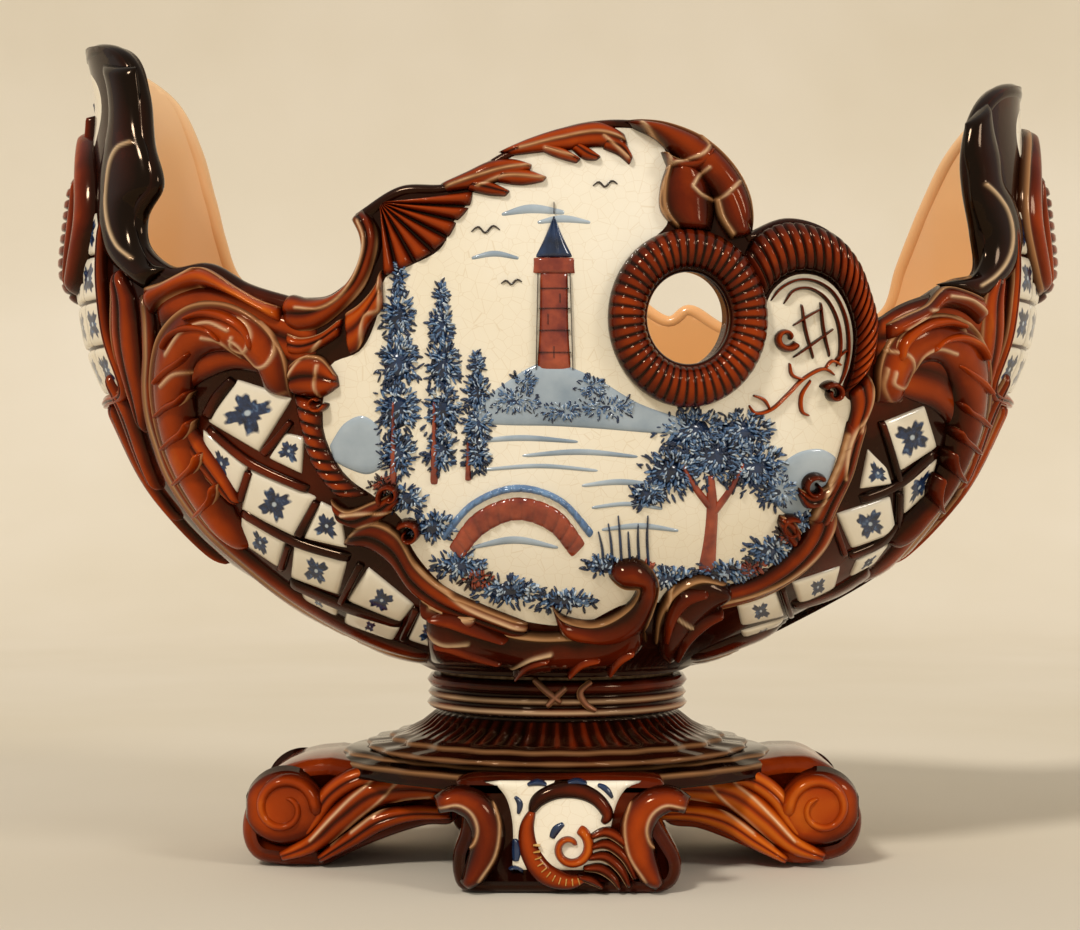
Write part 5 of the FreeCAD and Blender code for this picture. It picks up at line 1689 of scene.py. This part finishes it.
# Height, inset, and how proud and how light the glaze is
PLINTH_LAYERS = [
    (52.0, 0.0, 0.2, 0.0), (53.5, 0.5, 0.4, 0.0), (57.0, 1.5, 0.5, 0.0), (59.5, 0.8, 0.6, 0.5),
    (61.0, 3.5, 0.1, 0.0), (62.0, 9.0, 0.2, 0.0), (63.0, 9.5, 0.6, 0.5), (65.0, 11.0, 0.4, 0.0),
    (66.0, 14.0, 0.2, 0.0),
]
PLINTH_LOBES = 4
PLINTH_WAVE = 1.2
PLINTH_WAVE_HEIGHTS = (59.0, 64.0)
PLINTH_BORE_RISE = 0.1
PLINTH_HALF_LENGTH = 136.0
PLINTH_HALF_DEPTH = 112.0
PLINTH_LOBE_SHARE = 0.035
PLINTH_BORE = 58.0
FOOT_HALF_WIDTH = 45.0
FOOT_ROUND = 9.0
BLOCK_REACH = 124.0
BLOCK_DEPTH = 58.0
BLOCK_ROUND = 7.0
RIBBON_PX = [
    [(533, 678, 3), (548, 692, 4), (562, 703, 3)], [(546, 707, 3), (556, 696, 4), (567, 686, 3)],
    [(592, 680, 3), (580, 692, 4), (586, 704, 4), (597, 711, 3)],
]


def turned(profile, wave):
    """Points of a ring about the pedestal's axis with a closed profile. Wave gives how far each moves out."""
    turns = np.linspace(0, FULL_TURN, STEM_STEPS, endpoint=False)
    radius = profile[None, :, 0] + wave(turns[:, None], profile[None, :, 1])
    z = np.broadcast_to(profile[None, :, 1], radius.shape)
    return np.stack([radius * np.cos(turns)[:, None], radius * np.sin(turns)[:, None], z], axis=2)


def stem_wave(turn, z):
    """How far the flutes of the collar and the waves of the mats move the stem out."""
    low, high = FLUTE_HEIGHTS
    on_flutes = np.clip((z - low) / FLUTE_FADES[0], 0, 1) * np.clip((high - z) / FLUTE_FADES[1], 0, 1)
    on_mats = (z < MAT_HEIGHTS[1]) & (z > MAT_HEIGHTS[0])
    flutes = on_flutes * FLUTE_DEPTH * np.cos(COLLAR_FLUTES * turn)
    return flutes + on_mats * MAT_WAVE * np.cos(WAVE_LOBES * turn)


def stem():
    """Reeded band over a fluted collar that spreads into two wavy mats."""
    clay = Clay()
    profile = np.array(STEM_PROFILE)
    radius, z = profile.T
    points = turned(profile, stem_wave)
    rows, columns, _ = points.shape
    turns = np.linspace(0, FULL_TURN, rows, endpoint=False)[:, None]
    low, high = COLLAR_HEIGHTS
    reeds = np.clip((radius - REED_FOOT_RADIUS) / REED_REACH, 0, 1)
    proud = np.where(z < low, MAT_RISE, reeds)[None, :] * np.ones((rows, 1))
    flute = 0.5 + 0.5 * np.cos(COLLAR_FLUTES * turns)
    least, gain = COLLAR_RISE_SHARES
    rise = np.where(((z > low) & (z < high))[None, :], least + gain * flute, proud)
    light = np.isin(z, LIGHT_HEIGHTS)[None, :] * STEM_LIGHT * np.ones((rows, 1))
    glaze = np.stack([rise, np.full_like(rise, STEM_TONE), light], axis=2).reshape(-1, 3)
    clay.add(points.reshape(-1, 3), grid_faces(rows, columns, True, True), glaze)
    band = oval_ground(round_axes(BAND_RADIUS))
    strokes(clay, band, RIBBON_PX, relief=3.0, tone=0.5, light=0.2, lip=0.6)
    clay.finish("reeded_stem", [BROWN], "base_glaze", "pedestal_stem")


def plinth():
    """Lobed slab in three steps."""
    clay = Clay()
    turns = np.linspace(0, FULL_TURN, PLINTH_STEPS, endpoint=False)
    swell = 1 + PLINTH_LOBE_SHARE * (np.cos(PLINTH_LOBES * turns) - 1)
    low, high = PLINTH_WAVE_HEIGHTS
    rows, glaze = [], []
    for z, inset, rise, light in PLINTH_LAYERS:
        wave = PLINTH_WAVE * np.cos(WAVE_LOBES * turns) if low < z < high else 0.0
        x = ((PLINTH_HALF_LENGTH - inset) * swell + wave) * np.cos(turns)
        y = ((PLINTH_HALF_DEPTH - inset) * swell + wave) * np.sin(turns)
        rows.append(np.stack([x, y, np.full(len(turns), z)], axis=1))
        glaze.append((rise, 0.0, light))
    for z in (PLINTH_TOP, FOOT_HEIGHT):
        x, y = PLINTH_BORE * np.cos(turns), PLINTH_BORE * np.sin(turns)
        rows.append(np.stack([x, y, np.full(len(turns), z)], axis=1))
        glaze.append((PLINTH_BORE_RISE, 0.0, 0.0))
    points = np.stack(rows, axis=1)
    glaze = np.broadcast_to(glaze, points.shape).reshape(-1, 3)
    clay.add(points.reshape(-1, 3), grid_faces(len(turns), len(rows), True, True), glaze)
    clay.finish("stepped_plinth", [BROWN], "base_glaze", "plinth")


def slab(clay, outline, y_front, y_back, rounding, glaze):
    """Upright slab with a closed outline (x, z) and rounded edges, from y_front back to y_back."""
    outline = np.asarray(outline, float)
    before, after = np.roll(outline, 1, axis=0), np.roll(outline, -1, axis=0)
    along = after - before
    along /= np.linalg.norm(along, axis=1)[:, None]
    area = np.sum(outline[:, 0] * after[:, 1] - after[:, 0] * outline[:, 1])
    inward = np.stack([-along[:, 1], along[:, 0]], axis=1) * np.sign(area)
    rows = []
    turns = np.linspace(0, math.pi / 2, ROUNDING_STEPS)
    steps = [(rounding * (1 - math.sin(t)), y_front + rounding * (1 - math.cos(t))) for t in turns]
    steps += [(rounding * (1 - math.sin(t)), y_back - rounding * (1 - math.cos(t))) for t in turns[::-1]]
    for inset, y in steps:
        ring = outline + inward * inset
        rows.append(np.stack([ring[:, 0], np.full(len(ring), y), ring[:, 1]], axis=1))
    points = np.concatenate(rows)
    count = len(outline)
    faces = grid_faces(len(rows), count, closed_columns=True)
    if area > 0:
        faces = faces[:, ::-1]
    front = list(range(count))
    back = list(range((len(rows) - 1) * count, len(rows) * count))[::-1]
    if area < 0:
        front, back = front[::-1], back[::-1]
    clay.add(points, faces.tolist() + [front, back], glaze)


def disc(centre, radius):
    """Points of a stroke that fills a round."""
    turns = [math.radians(DISC_STEP_DEG * i) for i in range(-DISC_STEPS, DISC_STEPS + 1)]
    return [(centre[0] + radius * math.sin(t), centre[1], radius * math.cos(t)) for t in turns]


def plane_outline(pixels, y):
    """Closed smooth outline (x, z) on an upright plane from pixels."""
    points, _ = plane_ground(y)(smooth_line(pixels + pixels[:1], FOOT_STEPS + 1)[:-1])
    return np.stack([points[:, 0], np.maximum(points[:, 2], 0.0)], axis=1)


LEFT_FOOT_PX = [
    (330, 758), (302, 761), (276, 770), (256, 787), (244, 810), (241, 832), (246, 850), (257, 861),
    (282, 866), (305, 868), (326, 866), (345, 856), (372, 844), (402, 833), (428, 826), (452, 824),
    (462, 800), (460, 778), (420, 770), (370, 764),
]
RIGHT_FOOT_PX = [
    (784, 756), (812, 757), (836, 770), (852, 790), (862, 815), (859, 838), (846, 854), (820, 862),
    (800, 864), (776, 860), (752, 850), (724, 838), (698, 829), (668, 824), (656, 800), (658, 778),
    (700, 768), (744, 762),
]
FOOT_STROKES_PX = [
    [(452, 792, 8), (412, 787, 13), (374, 793, 15), (340, 817, 15), (312, 842, 11), (280, 856, 5)],
    [(452, 812, 7), (412, 812, 9), (380, 820, 11), (350, 839, 9), (318, 859, 4)],
    [(426, 772, 5), (388, 772, 8), (354, 778, 11), (330, 794, 11), (314, 818, 9), (302, 838, 4)],
]
FOOT_LINES_PX = [
    [(372, 780), (352, 796), (336, 812), (312, 838)], [(398, 780), (380, 800), (356, 820), (332, 842)],
    [(430, 796), (400, 800), (376, 812), (352, 830)],
]
FOOT_VOLUTE_PX = ((286, 806), 32, 20, -500, 10)
FOOT_DISC_PX = 41.0
FOOT_SHIFT_PX = 10
BLOCK_PX = [
    (456, 782), (470, 778), (560, 776), (650, 778), (664, 782), (662, 800), (660, 820), (670, 838),
    (680, 856), (681, 872), (674, 886), (658, 893), (566, 894), (476, 893), (459, 888), (453, 874),
    (453, 852), (460, 832), (462, 810),
]
BRACKET_PX = [
    (436, 804, 9), (456, 798, 14), (477, 806, 17), (488, 828, 18), (485, 852, 17), (475, 872, 13),
    (464, 885, 6),
]
BRACKET_LINES_PX = [
    [(440, 806), (460, 803), (473, 812), (478, 828), (472, 844), (460, 848)],
    [(494, 800), (500, 822), (496, 852), (480, 878)],
]
BLOCK_MIDDLE_PX = 562
BLOCK_PANEL_PX = (
    [(484, 780), (499, 797), (506, 820), (507, 845), (506, 870)],
    [(641, 780), (626, 797), (618, 820), (616, 845), (617, 870)],
)
BLOCK_ARC_PX = [
    (530, 814, 4), (538, 799, 9), (556, 790, 10), (580, 790, 10), (598, 799, 9), (607, 814, 7),
    (601, 823, 4),
]
BLOCK_CRESCENT_PX = [
    (534, 806, 4), (527, 826, 9), (530, 850, 12), (545, 871, 13), (569, 880, 9), (588, 875, 4),
]
BLOCK_VOLUTE_PX = ((570, 846), 21, 290, 420, 7)
BLOCK_FROND_PX = [
    [(588, 836, 3), (606, 830, 6), (626, 842, 6), (640, 866, 3)],
    [(588, 846, 3), (606, 842, 6), (624, 854, 6), (636, 878, 3)],
    [(586, 856, 3), (604, 854, 6), (620, 866, 6), (630, 886, 3)],
    [(582, 866, 3), (600, 866, 6), (614, 876, 5), (620, 888, 2)],
    [(576, 874, 3), (592, 878, 5), (604, 886, 2)],
]
BLUE_DASHES_PX = [
    [(515, 836, 3), (517, 848, 6), (516, 861, 4)], [(551, 838, 4), (556, 828, 7), (565, 821, 3)],
    [(596, 783, 2), (606, 788, 5), (613, 798, 2)], [(514, 794, 2), (520, 802, 5), (518, 814, 2)],
    [(526, 784, 2), (538, 782, 4), (548, 784, 2)], [(566, 782, 2), (577, 781, 4), (588, 783, 2)],
    [(508, 868, 2), (516, 866, 3), (524, 870, 2)],
]
COMB_REACH_PX = (29.0, 33.0, 38.0)
COMB_TEETH = 11
COMB_START_DEG = 75
COMB_TURN_DEG = 110
COMB_WIDTH_PX = 1.6


def comb_teeth():
    """Short marks round the lower left of the block's volute."""
    (x, y), *_ = BLOCK_VOLUTE_PX
    teeth = []
    for i in range(COMB_TEETH):
        turn = math.radians(COMB_START_DEG + COMB_TURN_DEG * i / (COMB_TEETH - 1))
        teeth.append([(x + r * math.cos(turn), y + r * math.sin(turn), COMB_WIDTH_PX) for r in COMB_REACH_PX])
    return teeth


def on_foot(points, side):
    """Points drawn for the left foot, mirrored where the side is the right one."""
    if side == "left":
        return points
    return [(2 * AXIS_PX - x - FOOT_SHIFT_PX, *rest) for x, *rest in points]


def scroll_feet():
    """The two scroll feet, each with its volute and leaf strokes on both faces."""
    y = -FOOT_HALF_WIDTH
    face = plane_ground(y)
    for side, pixels in (("left", LEFT_FOOT_PX), ("right", RIGHT_FOOT_PX)):
        clay, carving = Clay(), Clay()
        slab(clay, plane_outline(pixels, y), y, -y, FOOT_ROUND, SCROLL_FOOT_GLAZE)
        lines = [on_foot(line, side) for line in FOOT_LINES_PX]
        leaves = [on_foot(line, side) for line in FOOT_STROKES_PX]
        strokes(carving, face, leaves, relief=6.0, ridges=2, groove=0.15, tone=1.2, lines=lines)
        cap = on_foot(disc(FOOT_VOLUTE_PX[0], FOOT_DISC_PX), side)
        stroke(carving, face, cap, relief=7.0, crown=4.0, tone=0.6, taper=0.3)
        stroke(carving, face, on_foot(spiral(*FOOT_VOLUTE_PX), side), relief=9.5, tone=0.75)
        for turn in (AS_IT_IS, TO_THE_BACK):
            clay.add_flipped(carving, turn)
        clay.finish(f"{side}_scroll_foot", [BROWN], "base_glaze", f"{side}_foot")


def on_block(points, side):
    """Points drawn for the left of the block's face, mirrored about its middle where the side is -1."""
    return [(BLOCK_MIDDLE_PX + side * (x - BLOCK_MIDDLE_PX), *rest) for x, *rest in points]


def block_feet():
    """Front and back blocks: brackets at both sides of a cream panel with a moulded scroll."""
    y = -BLOCK_REACH
    face = plane_ground(y)
    block, panel, blue, gold = Clay(), Clay(), Clay(), Clay()
    slab(block, plane_outline(BLOCK_PX, y), y, y + BLOCK_DEPTH, BLOCK_ROUND, BLOCK_GLAZE)
    for side in (1, -1):
        lines = [on_block(line, side) for line in BRACKET_LINES_PX]
        stroke(block, face, on_block(BRACKET_PX, side), relief=8.0, tone=0.45, lines=lines)
    stroke(block, face, BLOCK_ARC_PX, relief=4.5, tone=-0.2)
    stroke(block, face, BLOCK_CRESCENT_PX, relief=4.5, tone=0.9)
    stroke(block, face, spiral(*BLOCK_VOLUTE_PX), relief=5.5, tone=0.95)
    strokes(block, face, BLOCK_FROND_PX, relief=5.5, lip=0.9, tone=0.1)
    ribbon(panel, face, *BLOCK_PANEL_PX, relief=1.5, crown=8.0)
    strokes(blue, face, BLUE_DASHES_PX, relief=2.6)
    strokes(gold, face, comb_teeth(), relief=5.2)
    for name, turn in (("front", AS_IT_IS), ("back", HALF_ROUND)):
        finish_turned(block, turn, f"{name}_block_foot", BROWN, "base_glaze", f"{name}_foot")
        finish_turned(panel, turn, f"{name}_foot_panel", CREAM, "base_glaze")
        finish_turned(blue, turn, f"{name}_foot_dashes", NAVY_PAINT, "base_glaze")
        finish_turned(gold, turn, f"{name}_foot_comb", GOLD_PAINT, "base_glaze")


# Pieces carried over from the solids

def carried_over():
    """Finishes of the liner, its handles and the bolted joint."""
    iron = worn_metal("rusty_iron", "3A2A22", "6B5546", 0.6)
    finishes = {
        zinc_metal(): ["liner_pan", "left_handle_lug", "right_handle_lug"],
        worn_metal("drawn_brass", "8A6A32", "C79F55", 0.3): ["left_liner_handle", "right_liner_handle"],
        iron: ["tie_bolt", "bolt_washer", "nut_washer", "hex_nut"],
        grained("seal_hide", "2C1B12", "4A3020", 900.0): ["bolt_seal"],
        grained("bedding_cork", "7A5A38", "A9855A", 300.0): ["bedding_ring"],
    }
    for finish, nodes in finishes.items():
        for node in nodes:
            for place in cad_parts[node].material_slots:
                place.material = finish


# Stage, lights and camera

FLOOR_WIDTH = 16000.0
FLOOR_FRONT = -6000.0
WALL_Y = 3000.0
WALL_ROUND = 1200.0
WALL_TOP = 6000.0
# Way to each lamp, its strength and its apparent width in degrees
LAMPS = {
    "key": ((-0.45, -0.75, 0.8), 1.7, 9.0),
    "fill": ((0.8, -0.6, 0.5), 0.8, 14.0),
    "back": ((0.3, 0.9, 0.8), 0.7, 14.0),
}
WORLD_STRENGTH = 0.5
WARM_WHITE = (1.0, 0.96, 0.9)
SENSOR_WIDTH = 36.0


def stage():
    """Pale sweep of paper under and behind the piece."""
    profile = [(FLOOR_FRONT, 0.0)]
    for i in range(SWEEP_STEPS + 1):
        turn = math.pi / 2 * i / SWEEP_STEPS
        profile.append((WALL_Y - WALL_ROUND + WALL_ROUND * math.sin(turn), WALL_ROUND * (1 - math.cos(turn))))
    profile.append((WALL_Y, WALL_TOP))
    points = [(x * FLOOR_WIDTH / 2 * MM, y * MM, z * MM) for y, z in profile for x in (-1, 1)]
    mesh = bpy.data.meshes.new("sweep")
    mesh.from_pydata(points, [], [(2 * i, 2 * i + 1, 2 * i + 3, 2 * i + 2) for i in range(len(profile) - 1)])
    mesh.shade_smooth()
    s = Shader("sweep_paper", roughness=0.9)
    mesh.materials.append(s.paint(s.ramp(s.noise(2.0), [(0.3, "D1C6B1"), (0.7, "D8CEBC")])))
    sweep = bpy.data.objects.new("sweep", mesh)
    bpy.context.scene.collection.objects.link(sweep)


def lamps():
    """Even light from the upper left, a weaker one from the right and one from behind, and a dim room."""
    for name, (way, strength, width) in LAMPS.items():
        lamp = bpy.data.lights.new(name, "SUN")
        lamp.energy = strength
        lamp.angle = math.radians(width)
        lamp.color = WARM_WHITE
        holder = bpy.data.objects.new(name, lamp)
        holder.rotation_euler = (-Vector(way)).to_track_quat("-Z", "Y").to_euler()
        bpy.context.scene.collection.objects.link(holder)
    world = bpy.data.worlds.new("room")
    world.use_nodes = True
    world.node_tree.nodes["Background"].inputs["Color"].default_value = (*WARM_WHITE, 1.0)
    world.node_tree.nodes["Background"].inputs["Strength"].default_value = WORLD_STRENGTH
    bpy.context.scene.world = world


def camera():
    """Camera at the view's place, turned a little so that the piece's axis falls where it should."""
    lens = bpy.data.cameras.new("camera")
    lens.sensor_width = SENSOR_WIDTH
    lens.lens = lens.sensor_width * FOCAL_PX / IMAGE_WIDTH_PX
    holder = bpy.data.objects.new("camera", lens)
    holder.location = (0.0, -CAMERA_BACK * MM, CAMERA_HEIGHT * MM)
    pitch = math.atan((HORIZON_PX - IMAGE_HEIGHT_PX / 2) / FOCAL_PX)
    yaw = math.atan((AXIS_PX - IMAGE_WIDTH_PX / 2) / FOCAL_PX)
    holder.rotation_euler = (math.pi / 2 + pitch, 0.0, yaw)
    bpy.context.scene.collection.objects.link(holder)
    bpy.context.scene.camera = holder


bowl()
rim_roll()
pierced_ring()
fan_and_crest()
side_leaves()
ribs_and_bands()
lattice("left_lattice", LEFT_TILES_PX, LEFT_BARS_PX)
lattice("right_lattice", RIGHT_TILES_PX, RIGHT_BARS_PX)
prow("left", math.pi, LEFT_TIP_SHARE)
prow("right", 0.0, RIGHT_TIP_SHARE)
picture()
back_picture()
stem()
plinth()
scroll_feet()
block_feet()
carried_over()
stage()
lamps()
camera()
bpy.context.scene.view_settings.view_transform = "Standard"
